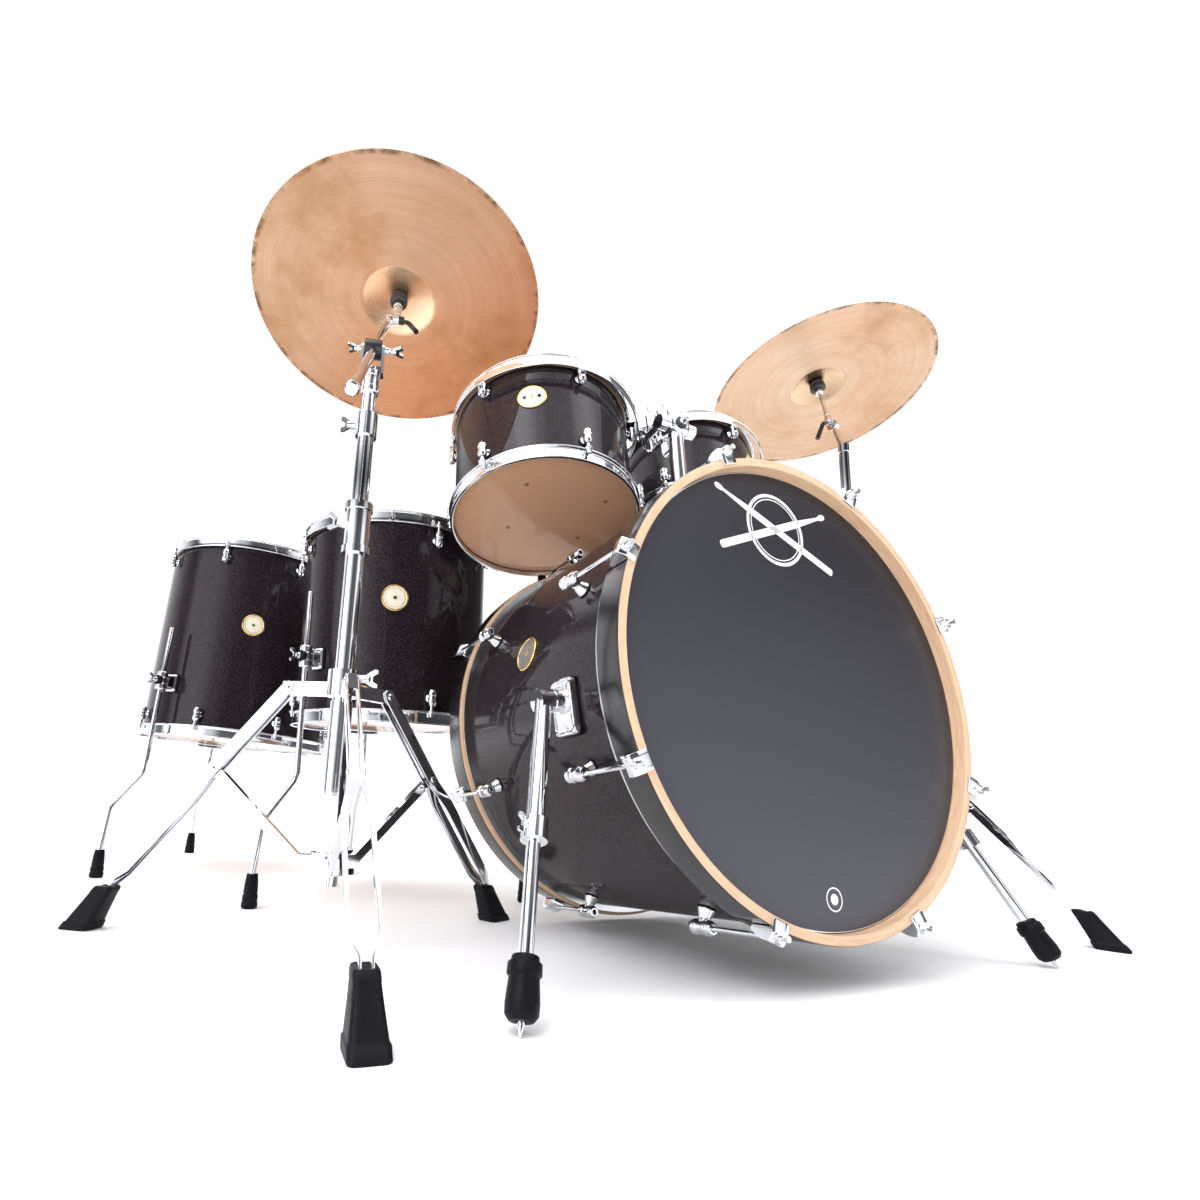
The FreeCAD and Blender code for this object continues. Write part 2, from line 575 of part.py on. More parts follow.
def build_rack_toms():
    post_foot = bass_at(90, dim.bass_radius.value, 200)
    post_up = post_foot.Rotation.multVec(V(1, 0, 0))
    post_frame = along(post_foot.Base, post_up)
    bore = dim.post_radius + ROD_GAP
    plate = block("receiver_plate", (-32, -36, -6), (32, 36, 10), post_frame)
    boss = cylinder("receiver_boss", dim.post_radius + 6.5, dim.receiver_height, post_frame)
    knob = rounded_knob("receiver_bolt", 6, 22, post_frame.multiply(
        at(y=-number(dim.post_radius) - 4, z=dim.receiver_height.value - 18, turn=Z_TO_MINUS_Y)))
    core = cylinder("receiver_core", dim.bass_radius + TOUCH, 120, bass_frame.multiply(at(z=-260)))
    hollow = cylinder("receiver_bore", bore, 200, post_frame.multiply(at(z=12)))
    node("tom_post_receiver", cut("receiver", fuse("receiver_form", [plate, boss, knob]),
                                  group("receiver_tools", [core, hollow])))

    half = dim.tom_head_half
    head_height = 16 + dim.post_length.value
    post = tube("tom_post_tube", dim.post_radius, dim.post_radius - dim.tube_wall, 14, 14 + dim.post_length)
    head = block("tom_post_head", (-half, -15, head_height - 4), (half, 15, head_height + 26))
    lock = cylinder("tom_post_lock", dim.post_radius + 5, 16,
                    at(z=dim.receiver_height.value + 0.3))
    body = fuse("tom_post_body", [post, head, cut("tom_post_lock_ring", lock, cylinder(
        "tom_post_lock_bore", dim.post_radius - 0.2, 60, at(z=60)))])
    body.Placement = post_frame
    node("tom_post", body)
    joint_line("tom_post_height", post_foot.Base, post_up)

    for key, side in (("tom12", -1), ("tom10", 1)):
        label = key.replace("tom", "tom_")
        made = tom_shapes(key)
        frame = made["frame"]
        made["shell"].Placement = frame
        badge = made["badge"]
        badge.Placement = frame.multiply(about(PLACES[key]["badge"], 0, 22))
        node(f"{label}_shell", [made["shell"], badge])
        node(f"{label}_hoops", made["hoops"])
        node(f"{label}_heads", made["heads"])
        node(f"{label}_lugs", made["lugs"])
        node(f"{label}_tension_rods", made["rods"])
        mount, clamp = rack_tom_mount(key, frame)
        node(f"{label}_mount", mount)

        axis = frame.Rotation.multVec(UP)
        hinge = post_frame.multVec(V(side * (half.value + 8), 0, head_height + 11))
        elbow = clamp.Base - axis * (62 if side < 0 else 92)
        route = [hinge, hinge + V(0, 34, -8), elbow] if side < 0 else [hinge, elbow]
        arm = bent_rod(f"{key}_arm_rod", route + [clamp.Base + axis * 42], dim.arm_radius.value, 14)
        sideways = V(side, 0, 0)
        disc = cylinder(f"{key}_arm_disc", 12.5, 15.4, along(
            post_frame.multVec(V(side * (half.value + 0.3), 0, head_height + 11)), sideways))
        node(f"{label}_arm", fuse(f"{key}_arm", [arm, disc]))
        joint_line(f"{label}_tilt", hinge, V(1, 0, 0))
        joint_line(f"{label}_height", clamp.Base, axis)


def build_floor_toms(bass_lugs, bass_rods):
    shapes = {key: tom_shapes(key) for key in ("floor16", "floor14")}
    bass_badge = shell_badge("bass_badge", dim.bass_radius)
    bass_badge.Placement = bass_at(168.5, 0, 220)
    badges, brackets = [bass_badge], []
    for key, made in shapes.items():
        place, frame = PLACES[key], made["frame"]
        made["shell"].Placement = frame
        label = key.replace("floor", "floor_tom_")
        node(f"{label}_shell", made["shell"])
        made["badge"].Placement = frame.multiply(about(place["badge"], 0, 30))
        badges.append(made["badge"])
        radius = getattr(dim, key + "_radius")
        axis = frame.Rotation.multVec(UP)
        height = (place["bracket"] - frame.Base.z) / axis.z
        holder = floor_leg_bracket(key, radius)
        azimuths = [place["legs"] + i * 120 for i in range(3)]
        spots = [frame.multiply(about(a, 0, height)) for a in azimuths]
        brackets.append(copies(key + "_brackets", holder, spots))
        rods = []
        for i, azimuth in enumerate(azimuths):
            rods += floor_leg(f"{key}_leg_{i}", frame, azimuth, radius, height)
        node(f"{label}_legs", rods)
        joint_line(f"{label}_leg_length", V(frame.Base.x, frame.Base.y, place["bracket"]), axis * -1)
    first, second = shapes["floor16"], shapes["floor14"]
    node("floor_tom_hoops", [first["hoops"], second["hoops"]])
    node("floor_tom_heads", [first["heads"], second["heads"]])
    node("shell_lugs", [bass_lugs, first["lugs"], second["lugs"]])
    node("tension_rods", [bass_rods, first["rods"], second["rods"]])
    node("floor_tom_leg_brackets", brackets)
    node("shell_badges", badges)


def floor_leg_bracket(key, radius):
    """The clamp block on a floor tom's shell, with its wing bolt and a bore for the leg."""
    reach = dim.leg_rod_offset
    body = block(key + "_holder_block", (radius - 3, -14, -19), (radius + reach + 11, 14, 19))
    out = number(radius + reach)
    bolt = rounded_knob(key + "_holder_bolt", 5.5, 20, at(x=out + 10, turn=Z_TO_X))
    core = cylinder(key + "_holder_core", radius + TOUCH, 60, at(z=-30))
    bore = cylinder(key + "_holder_bore", dim.leg_rod_radius + ROD_GAP, 80, at(x=out, z=-40))
    tools = group(key + "_holder_tools", [core, bore])
    return cut(key + "_holder", fuse(key + "_holder_form", [body, bolt]), tools)


def floor_leg(name, frame, azimuth, radius, bracket_height):
    """One double-bend leg rod and its rubber boot, standing on the floor."""
    axis = frame.Rotation.multVec(UP)
    outwards = frame.multiply(about(azimuth)).Rotation.multVec(V(1, 0, 0))
    level = V(outwards.x, outwards.y, 0).normalize()
    grip = frame.multiply(about(azimuth, number(radius + dim.leg_rod_offset), bracket_height)).Base

    def on_leg(height):
        return grip + axis * ((height - grip.z) / axis.z)

    boot = dim.leg_boot_height.value
    bend_top, bend_low = 202.0, 134.0
    knee = on_leg(bend_top)
    ankle = on_leg(bend_low) + level * dim.leg_kick.value
    foot = V(ankle.x, ankle.y, 0) + level * 14
    lean = (foot - ankle).normalize()
    rod_end = ankle + lean * ((ankle.z - 12) / -lean.z)
    rod = bent_rod(name + "_rod", [on_leg(bracket_height_top(grip)), knee, ankle, rod_end],
                   dim.leg_rod_radius.value, 30)
    cup = cylinder(name + "_cup", dim.leg_rod_radius, 300, along(rod_end, -lean))
    heel_top = ankle + lean * ((ankle.z - boot) / -lean.z)
    heel = cone(name + "_boot_form", 13.5, 8.5, boot, Placement(V(heel_top.x, heel_top.y, 0), Rotation()))
    return [rod, cut(name + "_boot", heel, cup)]


def bracket_height_top(grip):
    """A leg rod stands this high above the floor: clear above its clamp."""
    return grip.z + 118


# ---------------------------------------------------------------- cymbal stands


def build_stand_legs():
    """One leg and one strut in the radial plane: X outwards from the stand's axis, Z up."""
    pivot = V(dim.hub_pivot_radius.value, 0, dim.hub_pivot_height.value)
    foot = V(dim.foot_radius.value - 8, 0, 22)
    slope = (foot - pivot)
    length = slope.Length
    tilt = math.degrees(math.atan2(-slope.z, slope.x))
    sheet_t, inner = dim.bar_sheet, dim.hub_arm_half + 0.4
    flare, taper_start, taper_end = 12.5, length - 66, length - 44
    bars = []
    for side in (1, -1):
        edge = [(-9, inner), (152, inner), (186, flare), (taper_start, flare), (taper_end, 4.0),
                (length, 4.0)]
        far = [(x, y + sheet_t) for x, y in reversed(edge)]
        corners = [(x, y * side) for x, y in edge + far]
        bars.append(extrude(f"leg_bar_{side + 1}", "XY_Plane", corners, dim.bar_width))
    reach, half_bar = number(inner + sheet_t), number(dim.bar_width) / 2
    pin = cylinder("leg_pin", dim.pin_radius, 2 * reach + 4, at(y=reach + 2, turn=Z_TO_MINUS_Y))
    studs = []
    for side in (1, -1):
        spot = at(x=dim.strut_along_leg.value, y=side * (reach + 1.1) + 1.1, turn=Z_TO_MINUS_Y)
        studs.append(cylinder(f"leg_stud_{side + 1}", dim.pin_radius + 1, 2.2, spot))
    toe = block("leg_toe", (length - 24, -5, -half_bar), (length - 4, 5, half_bar))
    leg_bars = fuse("leg_bars", bars + [pin, toe] + studs)
    leg_bars.Placement = Placement(pivot, Rotation(V(0, 1, 0), tilt))
    wedge = doc.addObject("Part::Wedge", "boot_form")
    sole = dim.foot_radius.value - 28
    top = dim.foot_radius.value - 51
    wedge.Xmin, wedge.Xmax, wedge.Zmin, wedge.Zmax = sole, sole + 44, -17, 17
    wedge.X2min, wedge.X2max, wedge.Z2min, wedge.Z2max = top, top + 27, -10.5, 10.5
    wedge.Ymin = 0
    bind(wedge, "Ymax", dim.boot_height)
    wedge.Placement = at(turn=Z_TO_MINUS_Y)
    leg_boot = cut("leg_boot", wedge, leg_bars)

    low = V(dim.strut_pivot_radius.value, 0, dim.strut_pivot_height.value)
    joint = pivot + slope.normalize() * dim.strut_along_leg.value
    rise = joint - low
    half, trim = 6.0, 4.0
    blade = extrude("strut_blade", "XZ_Plane", [
        (-half, half * -0.6), (-half * 0.6, -half), (rise.Length - trim, -half), (rise.Length - trim, half),
        (-half * 0.6, half), (-half, half * 0.6)], 2 * dim.hub_arm_half - 2)
    eye = cylinder("strut_eye", dim.pin_radius + ROD_GAP, 40, at(y=20, turn=Z_TO_MINUS_Y))
    strut = cut("strut", blade, eye)
    strut.Placement = Placement(low, Rotation(V(0, 1, 0), -math.degrees(math.atan2(rise.z, rise.x))))
    return group("stand_leg", [leg_bars, leg_boot]), group("stand_strut", [strut])


def build_hubs():
    """The sliding leg hub and the fixed lower hub, about the stand's axis."""
    height, reach = dim.hub_pivot_height.value, dim.hub_pivot_radius.value
    ring = cylinder("hub_ring", dim.base_tube_radius + 8, 34, at(z=height - 10))
    arm = block("hub_arm", (10, -dim.hub_arm_half, height - 9), (reach + 7, dim.hub_arm_half, height + 9))
    arms = copies("hub_arms", arm, [about(i * 120) for i in range(3)])
    bolt = rounded_knob("hub_bolt", 5.5, 22,
                        at(z=height + 14, turn=Rotation(UP, 60)).multiply(at(x=18, turn=Z_TO_X)))
    bore = cylinder("hub_bore", dim.base_tube_radius + ROD_GAP, 80, at(z=height - 40))
    eye = cylinder("hub_eye", dim.pin_radius + ROD_GAP, 40, at(reach, 20, height, Z_TO_MINUS_Y))
    eyes = copies("hub_eyes", eye, [about(i * 120) for i in range(3)])
    hub = cut("leg_hub", fuse("leg_hub_form", [ring, arms, bolt]), group("leg_hub_tools", [bore, eyes]))

    low = dim.strut_pivot_height.value
    radius = dim.strut_pivot_radius.value
    core = cylinder("low_hub_core", dim.sleeve_radius + 7, 26, at(z=low - 14))
    inner, outer = dim.hub_arm_half - 0.5, dim.hub_arm_half + 3
    ears = []
    for side, (near, far) in ((0, (inner, outer)), (1, (-outer, -inner))):
        ear = block(f"low_ear_{side}", (12, near, low - 8), (radius + 6, far, low + 8))
        ears.append(copies(f"low_ears_{side}", ear, [about(i * 120) for i in range(3)]))
    pin = cylinder("low_pin", dim.pin_radius, 2 * outer, at(radius, number(outer), low, Z_TO_MINUS_Y))
    pins = copies("low_pins", pin, [about(i * 120) for i in range(3)])
    gap = block("low_gap", (radius - 9, -inner, low - 20), (radius + 20, inner, low + 20))
    gaps = copies("low_gaps", gap, [about(i * 120) for i in range(3)])
    low_hub = fuse("low_hub", [cut("low_hub_slotted", fuse("low_hub_form", [core] + ears), gaps), pins])
    return hub, low_hub


def build_stands():
    leg, strut = build_stand_legs()
    hub, low_hub = build_hubs()
    bases = []
    tops = {"left": 568.0, "right": 640.0}
    for side, place in STANDS.items():
        base = Placement(shift + V(place["x"], place["y"], 0), Rotation())
        turned = base.multiply(at(turn=Rotation(UP, place["first_leg"])))
        bore = (dim.middle_tube_radius if side == "left" else dim.upper_tube_radius) + ROD_GAP
        top = tops[side]
        tube_bottom = 78.0
        trunk = tube(f"{side}_trunk", dim.base_tube_radius, bore, tube_bottom, top - 10)
        sleeve = tube(f"{side}_sleeve", dim.sleeve_radius, dim.base_tube_radius - 0.2, tube_bottom - 4, 298)
        collar = tube(f"{side}_collar", dim.base_tube_radius + 4, bore, top - 72, top)
        low_ring = tube(f"{side}_collar_ring_low", dim.base_tube_radius + 6, bore, top - 72, top - 62)
        high_ring = tube(f"{side}_collar_ring_high", dim.base_tube_radius + 6, bore, top - 10, top)
        wing = rounded_knob(f"{side}_collar_bolt", 5.5, 20, at(z=top - 34, turn=Rotation(UP, 190)).multiply(
            at(x=dim.base_tube_radius.value + 3, turn=Z_TO_X)))
        form = fuse(f"{side}_trunk_form", [trunk, sleeve, collar, low_ring, high_ring, wing])
        links = copies(f"{side}_low_hub", low_hub, [at(turn=Rotation(UP, place["first_leg"]))])
        bored = cut(f"{side}_trunk_bored", fuse(f"{side}_trunk_fused", [form, links]),
                    cylinder(f"{side}_trunk_bore", bore, 700, at(z=tube_bottom - 10)))
        bored.Placement = base
        bases.append(bored)
        node(f"{side}_leg_hub", copies(f"{side}_hub", hub, [turned]))
        joint_line(f"{side}_stand_fold", base.multVec(V(0, 0, dim.hub_pivot_height.value)), UP)
        for i, letter in enumerate("abc"):
            spoke = turned.multiply(about(i * 120))
            node(f"{side}_stand_leg_{letter}", copies(f"{side}_leg_{letter}", leg, [spoke]))
            node(f"{side}_stand_strut_{letter}", copies(f"{side}_strut_{letter}", strut, [spoke]))
            tangent = spoke.Rotation.multVec(V(0, 1, 0))
            joint_line(f"{side}_leg_{letter}_fold", spoke.multVec(
                V(dim.hub_pivot_radius.value, 0, dim.hub_pivot_height.value)), tangent)
            joint_line(f"{side}_strut_{letter}_fold", spoke.multVec(
                V(dim.strut_pivot_radius.value, 0, dim.strut_pivot_height.value)), tangent * -1)
    node("stand_bases", bases)

    left = Placement(shift + V(STANDS["left"]["x"], STANDS["left"]["y"], 0), Rotation())
    right = Placement(shift + V(STANDS["right"]["x"], STANDS["right"]["y"], 0), Rotation())
    build_left_top(left)
    build_right_top(right)


RIDE_TILTER = V(-416.4, 493.1, 1014.5)
RIDE_AXIS = V(0.1045, 0.26, 1)
CRASH_AXIS = V(0, 0.2302, 1)
CRASH_TILTER_HEIGHT = 1018.0
NECK = V(-3.2, 18, 62)
TILTER_SIDE = 10.8
HOLE_HEIGHT = {"ride": 70.0, "crash": 124.0}


def build_left_top(base):
    """Middle tube, upper tube with its boom fork, the boom and its tilter."""
    top, head = 702.0, 806.0
    outer = dim.middle_tube_radius
    bore = dim.upper_tube_radius + ROD_GAP
    middle = tube("left_middle", outer, bore, 420, top - 4)
    collar = tube("left_middle_collar", outer + 3.5, bore, top - 34, top)
    knob = rounded_knob("left_middle_bolt", 5, 17, at(z=top - 17, turn=Rotation(UP, 160)).multiply(
        at(x=outer.value + 2, turn=Z_TO_X)))
    body = cut("left_middle_body", fuse("left_middle_form", [middle, collar, knob]),
               cylinder("left_middle_bore", bore, 400, at(z=400)))
    body.Placement = base
    node("left_middle_tube", body)
    joint_line("left_middle_height", base.multVec(V(0, 0, top)), UP)
    joint_line("left_upper_height", base.multVec(V(0, 0, head)), UP)

    pivot = base.Base + V(0, 0, head)
    target = RIDE_TILTER + shift
    level = math.hypot(target.x - pivot.x, target.y - pivot.y)
    bearing = math.atan2(target.y - pivot.y, target.x - pivot.x)
    heading = math.degrees(bearing + math.asin(TILTER_SIDE / level))
    facing = at(z=head, turn=Rotation(UP, heading))
    cheek_in, cheek_out = 12.4, 16.4
    upper = tube("left_upper", dim.upper_tube_radius, dim.upper_tube_radius - dim.tube_wall, 600, head - 38)
    throat = cylinder("left_upper_throat", dim.upper_tube_radius + 3, 36, at(z=head - 72))
    yoke = block("left_yoke", (-8, -cheek_out, -40), (8, cheek_out, -30), facing)
    cheeks = []
    for name, (near, far) in (("a", (cheek_in, cheek_out)), ("b", (-cheek_out, -cheek_in))):
        cheeks.append(block(f"left_cheek_{name}", (-8, near, -40), (8, far, 10), facing))
    handle = rounded_knob("left_boom_handle", 5, 22, facing.multiply(at(y=1 - cheek_out, turn=Z_TO_MINUS_Y)))
    eyes = cylinder("left_cheek_eyes", 4 + ROD_GAP, 2 * cheek_out + 1,
                    facing.multiply(at(y=cheek_out + 0.5, turn=Z_TO_MINUS_Y)))
    fork = cut("left_upper_body", fuse("left_upper_form", [upper, throat, yoke] + cheeks), eyes)
    knob_eye = cylinder("left_boom_knob_eye", 4 + ROD_GAP, 14,
                        facing.multiply(at(y=-cheek_out - 6, turn=Rotation(V(1, 0, 0), -90))))
    knob_cap = cut("left_boom_knob", handle, knob_eye)
    upper_set = fuse("left_upper_set", [fork, knob_cap])
    upper_set.Placement = base
    node("left_upper_tube", upper_set)

    hinge = facing.Rotation.multVec(V(0, 1, 0))
    reach = (target + hinge * TILTER_SIDE - pivot).Length
    boom_dir = (target + hinge * TILTER_SIDE - pivot).normalize()
    boom_frame = Placement(pivot, Rotation(boom_dir.cross(hinge) * -1, hinge, boom_dir, "ZYX"))
    clamp_half, tail = cheek_in - 0.3, dim.boom_tail.value
    clamp = cylinder("boom_clamp", 14, 2 * clamp_half, at(y=clamp_half, turn=Z_TO_MINUS_Y))
    trunnion = cylinder("boom_trunnion", 4, 2 * cheek_out, at(y=cheek_out, turn=Z_TO_MINUS_Y))
    pole = cylinder("boom_pole", dim.boom_radius, dim.boom_tail + reach - 10.4, at(z=-tail))
    weight = cylinder("boom_weight", dim.boom_radius + 2.3, 24, at(z=-tail - 6))
    knuckle = cylinder("boom_knuckle", 11, 11, at(0, 5.5, reach, Z_TO_MINUS_Y))
    boom = fuse("boom_body", [clamp, trunnion, pole, weight, knuckle])
    boom.Placement = boom_frame
    node("left_boom_arm", boom)
    tilter = boom_frame.multVec(V(0, -TILTER_SIDE, reach))
    build_tilter("ride", tilter, V(RIDE_AXIS).normalize(), hinge * -1)
    joint_line("left_boom_tilt", pivot, hinge)


def build_right_top(base):
    head = CRASH_TILTER_HEIGHT
    start = V(0, 0, head - NECK.z)
    upper = tube("right_upper", dim.upper_tube_radius, dim.upper_tube_radius - dim.tube_wall, 430, start.z)
    cap = cylinder("right_cap", dim.upper_tube_radius + 1.5, 18, at(z=start.z - 10))
    neck = cone("right_neck", 8.0, 5.0, NECK.Length - 4, along(start + NECK * 0.03, NECK))
    knuckle = cylinder("right_knuckle", 11, 11, Placement(start + NECK - V(5.5, 0, 0), Z_TO_X))
    body = fuse("right_upper_body", [upper, cap, neck, knuckle])
    body.Refine = False
    body.Placement = base
    node("right_upper_tube", body)
    tilter = base.Base + start + NECK - V(TILTER_SIDE, 0, 0)
    build_tilter("crash", tilter, V(CRASH_AXIS).normalize(), V(-1, 0, 0))
    joint_line("right_upper_height", base.multVec(V(0, 0, head)), UP)


def build_tilter(name, pivot, axis, side):
    """The ratchet tilter with its lever, the cymbal rod, the felts with their wing nut, and the cymbal."""
    hole_height = HOLE_HEIGHT[name]
    seat_low = hole_height - 36
    disc = cylinder(f"{name}_tilter_disc", 10, 10, along(pivot - side * 5, side))
    stem = cylinder(f"{name}_tilter_stem", 6.5, 18, along(pivot + axis * 11.8, axis))
    cymbal_rod = cylinder(f"{name}_rod", dim.cymbal_rod_radius, hole_height + 50, along(pivot, axis))
    lever_hub = cylinder(f"{name}_lever_hub", 7, 9, along(pivot + side * 5.3, side))
    lever_down = (side * 0.55 - axis * 0.8 - axis.cross(side) * 0.25).normalize()
    lever = cone(f"{name}_lever_grip", 4.2, 3.2, 46, along(pivot + side * 10, lever_down))
    node(f"{name}_tilter", [fuse(f"{name}_tilter_body", [disc, stem, cymbal_rod]),
                            fuse(f"{name}_lever", [lever_hub, lever])])

    bore = dim.cymbal_rod_radius + ROD_GAP
    seat_top = hole_height - dim.cymbal_sheet.value - 0.4
    seat = revolve(f"{name}_seat", [
        (bore, seat_low), (12.5, seat_low), (12.5, seat_top - 4.5),
        (7.4, seat_top), (5.2, seat_top), (5.2, hole_height + 3), (bore, hole_height + 3)])
    felt = revolve(f"{name}_felt", [
        (bore, hole_height + 3.1), (5.3, hole_height + 3.1), (15.5, hole_height + 4.0),
        (17.5, hole_height + 6), (17.5, hole_height + 10), (15.5, hole_height + 12),
        (bore, hole_height + 12)])
    nut = fuse(f"{name}_wing_nut", [
        tube(f"{name}_nut_barrel", 8, bore, hole_height + 12.1, hole_height + 24),
        block(f"{name}_nut_wing_a", (7, -1.8, hole_height + 16), (20, 1.8, hole_height + 30)),
        block(f"{name}_nut_wing_b", (-20, -1.8, hole_height + 16), (-7, 1.8, hole_height + 30))])
    frame = along(pivot, axis)
    for part in (seat, felt, nut):
        part.Placement = frame
    node(f"{name}_felts", [seat, felt, nut])

    radius, bell = getattr(dim, name + "_radius"), getattr(dim, name + "_bell")
    bow, height = getattr(dim, name + "_bow"), getattr(dim, name + "_height")
    hole, thick = dim.cymbal_hole, dim.cymbal_sheet
    bow_radius, bell_radius = 1500.0, 128.0 if name == "ride" else 96.0
    rim_low = -height
    plate = revolve(f"{name}_plate", [
        (hole, 0, bell_radius, -1), (bell, bow - height, bow_radius, -1), (radius, rim_low),
        (radius, rim_low - thick),
        (radius - 0.4, rim_low - thick, bow_radius, 1),
        (bell, bow - height - thick, bell_radius, 1), (hole, -thick)])
    plate.Placement = along(pivot + axis * hole_height, axis)
    joint_line(f"{name}_tilt", pivot, side)
    joint_line(f"{name}_spin", pivot + axis * hole_height, axis)
    node(f"{name}_cymbal", plate)


# ---------------------------------------------------------------- assemble, check and write

tom_lug = fuse("tom_lug", [lug_barrel("tom_lug_barrel", dim.lug_radius, dim.lug_half, dim.rod_offset),
                           block("tom_lug_foot", (TOUCH, -6, -10), (dim.rod_offset - 5, 6, 10))])
build_floor_toms(*build_bass_drum())
build_spurs()
build_rack_toms()
build_stands()
doc.recompute()

for obj in doc.Objects:
    bad = [state for state in obj.State if state in ("Invalid", "Error")]
    if bad:
        raise RuntimeError(f"{obj.Name} did not recompute: {bad}")
os.makedirs("parts", exist_ok=True)
whole = FreeCAD.BoundBox()
for label, obj in nodes.items():
    shape = obj.Shape
    if shape.isNull() or not shape.isValid() or not shape.Solids:
        raise RuntimeError(f"{label} has no valid solid")
    shape.exportStep(f"parts/{label}.step")
    whole.add(shape.BoundBox)
print(len(nodes), "nodes; box", whole)
for name, (point, axis) in joint_lines.items():
    print(name, "through", point, "along", axis)
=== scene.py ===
import json
import math

import bmesh
import bpy
import numpy as np
from mathutils import Matrix, Vector


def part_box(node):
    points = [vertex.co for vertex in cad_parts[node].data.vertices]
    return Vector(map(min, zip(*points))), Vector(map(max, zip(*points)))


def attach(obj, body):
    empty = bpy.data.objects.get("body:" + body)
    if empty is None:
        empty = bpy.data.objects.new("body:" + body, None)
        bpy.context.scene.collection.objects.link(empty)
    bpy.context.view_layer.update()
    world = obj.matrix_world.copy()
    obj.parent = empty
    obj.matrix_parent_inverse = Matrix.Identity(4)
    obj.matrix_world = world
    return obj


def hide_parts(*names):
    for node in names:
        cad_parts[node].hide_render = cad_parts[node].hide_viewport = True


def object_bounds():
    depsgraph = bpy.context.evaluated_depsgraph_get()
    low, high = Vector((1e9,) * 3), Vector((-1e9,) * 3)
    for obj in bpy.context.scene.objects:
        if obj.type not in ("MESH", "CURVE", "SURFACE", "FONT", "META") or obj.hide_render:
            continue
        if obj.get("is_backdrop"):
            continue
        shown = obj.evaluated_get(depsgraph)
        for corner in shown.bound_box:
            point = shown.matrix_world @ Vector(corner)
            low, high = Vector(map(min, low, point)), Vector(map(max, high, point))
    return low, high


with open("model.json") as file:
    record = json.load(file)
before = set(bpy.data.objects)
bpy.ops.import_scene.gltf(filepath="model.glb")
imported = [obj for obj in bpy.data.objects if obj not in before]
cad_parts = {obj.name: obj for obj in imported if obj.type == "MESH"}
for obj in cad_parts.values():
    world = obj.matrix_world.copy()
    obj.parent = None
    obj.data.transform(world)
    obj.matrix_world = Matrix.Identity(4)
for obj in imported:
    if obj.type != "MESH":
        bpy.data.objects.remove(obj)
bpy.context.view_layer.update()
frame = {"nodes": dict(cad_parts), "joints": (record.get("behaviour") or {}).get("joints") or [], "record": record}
MM = 0.001
Z = Vector((0, 0, 1))
FLIP = Matrix.Rotation(math.pi, 4, "X")
Z_TO_X = Matrix.Rotation(math.pi / 2, 4, "Y")
Z_TO_MINUS_Y = Matrix.Rotation(math.pi / 2, 4, "X")
ON_WALL = Z_TO_X @ Matrix.Rotation(math.pi / 2, 4, "Z")      # stands an outline up on a wall that faces X

# ---------------------------------------------------------------- reading the frame


def mesh_arrays(node):
    """A node's corner positions and triangles, with corners at one place merged."""
    mesh = frame["nodes"][node].data
    places = np.empty(len(mesh.vertices) * 3)
    mesh.vertices.foreach_get("co", places)
    mesh.calc_loop_triangles()
    faces = np.empty(len(mesh.loop_triangles) * 3, int)
    mesh.loop_triangles.foreach_get("vertices", faces)
    merged, inverse = np.unique(np.round(places.reshape(-1, 3), 6), axis=0, return_inverse=True)
    return merged, inverse.reshape(-1)[faces].reshape(-1, 3)


def islands(node):
    """The separate solids of a node, each as its own corners and triangles."""
    places, faces = mesh_arrays(node)
    label = np.arange(len(places))
    while True:
        low = label[faces].min(axis=1)
        before = label.copy()
        for column in range(3):
            np.minimum.at(label, faces[:, column], low)
        label = label[label]
        if (label == before).all():
            break
    found = []
    for number in np.unique(label[faces[:, 0]]):
        own = faces[label[faces[:, 0]] == number]
        used, local = np.unique(own, return_inverse=True)
        found.append((places[used], local.reshape(-1, 3)))
    return found


def middle_of(solid):
    places, _ = solid
    return Vector((places.min(axis=0) + places.max(axis=0)) / 2)


def middles(node):
    """The middle of each solid of a node."""
    return [middle_of(solid) for solid in islands(node)]


def joint(name):
    """A joint's point and axis."""
    entry = next(j for j in frame["joints"] if j["name"] == name)
    return Vector(entry["pos_m"]), Vector(entry["axis"]).normalized()


def facing(point, direction, sideways=Vector((1, 0, 0))):
    """A frame at a point with Z along a direction and X as near as can be to sideways."""
    z = Vector(direction).normalized()
    x = (Vector(sideways) - z * Vector(sideways).dot(z)).normalized()
    return Matrix.Translation(point) @ Matrix((x, z.cross(x), z)).transposed().to_4x4()


def shift(x=0.0, y=0.0, z=0.0):
    """A move by distances in millimetres."""
    return Matrix.Translation((x * MM, y * MM, z * MM))


class Drum:
    """One drum's own frame: Z from its lower head to its upper one, the origin halfway."""

    def __init__(self, name, body, heads, upper_first):
        centres = [Vector(places.mean(axis=0)) for places, _ in heads]
        centres.sort(key=upper_first)
        top, bottom = centres
        self.name, self.body = name, body
        self.frame = facing((top + bottom) / 2, top - bottom)
        reach = np.array([self.local(p) for p in heads[0][0]])
        self.half = abs(reach[:, 2]).max() - 0.55 * MM
        self.head_radius = np.hypot(reach[:, 0], reach[:, 1]).max()
        self.lugs = []

    def local(self, point):
        return self.frame.inverted() @ Vector(point)

    def holds(self, point, radius):
        place = self.local(point)
        return abs(place.z) < self.half * 1.02 and math.hypot(place.x, place.y) < radius

    def at(self, azimuth, radius=0.0, height=0.0):
        """A frame on the drum: X outwards, Z along the drum's axis."""
        turn = Matrix.Rotation(azimuth, 4, "Z")
        return self.frame @ turn @ Matrix.Translation((radius, 0, height))

    def azimuth(self, point):
        place = self.local(point)
        return math.atan2(place.y, place.x)


# ---------------------------------------------------------------- mesh making


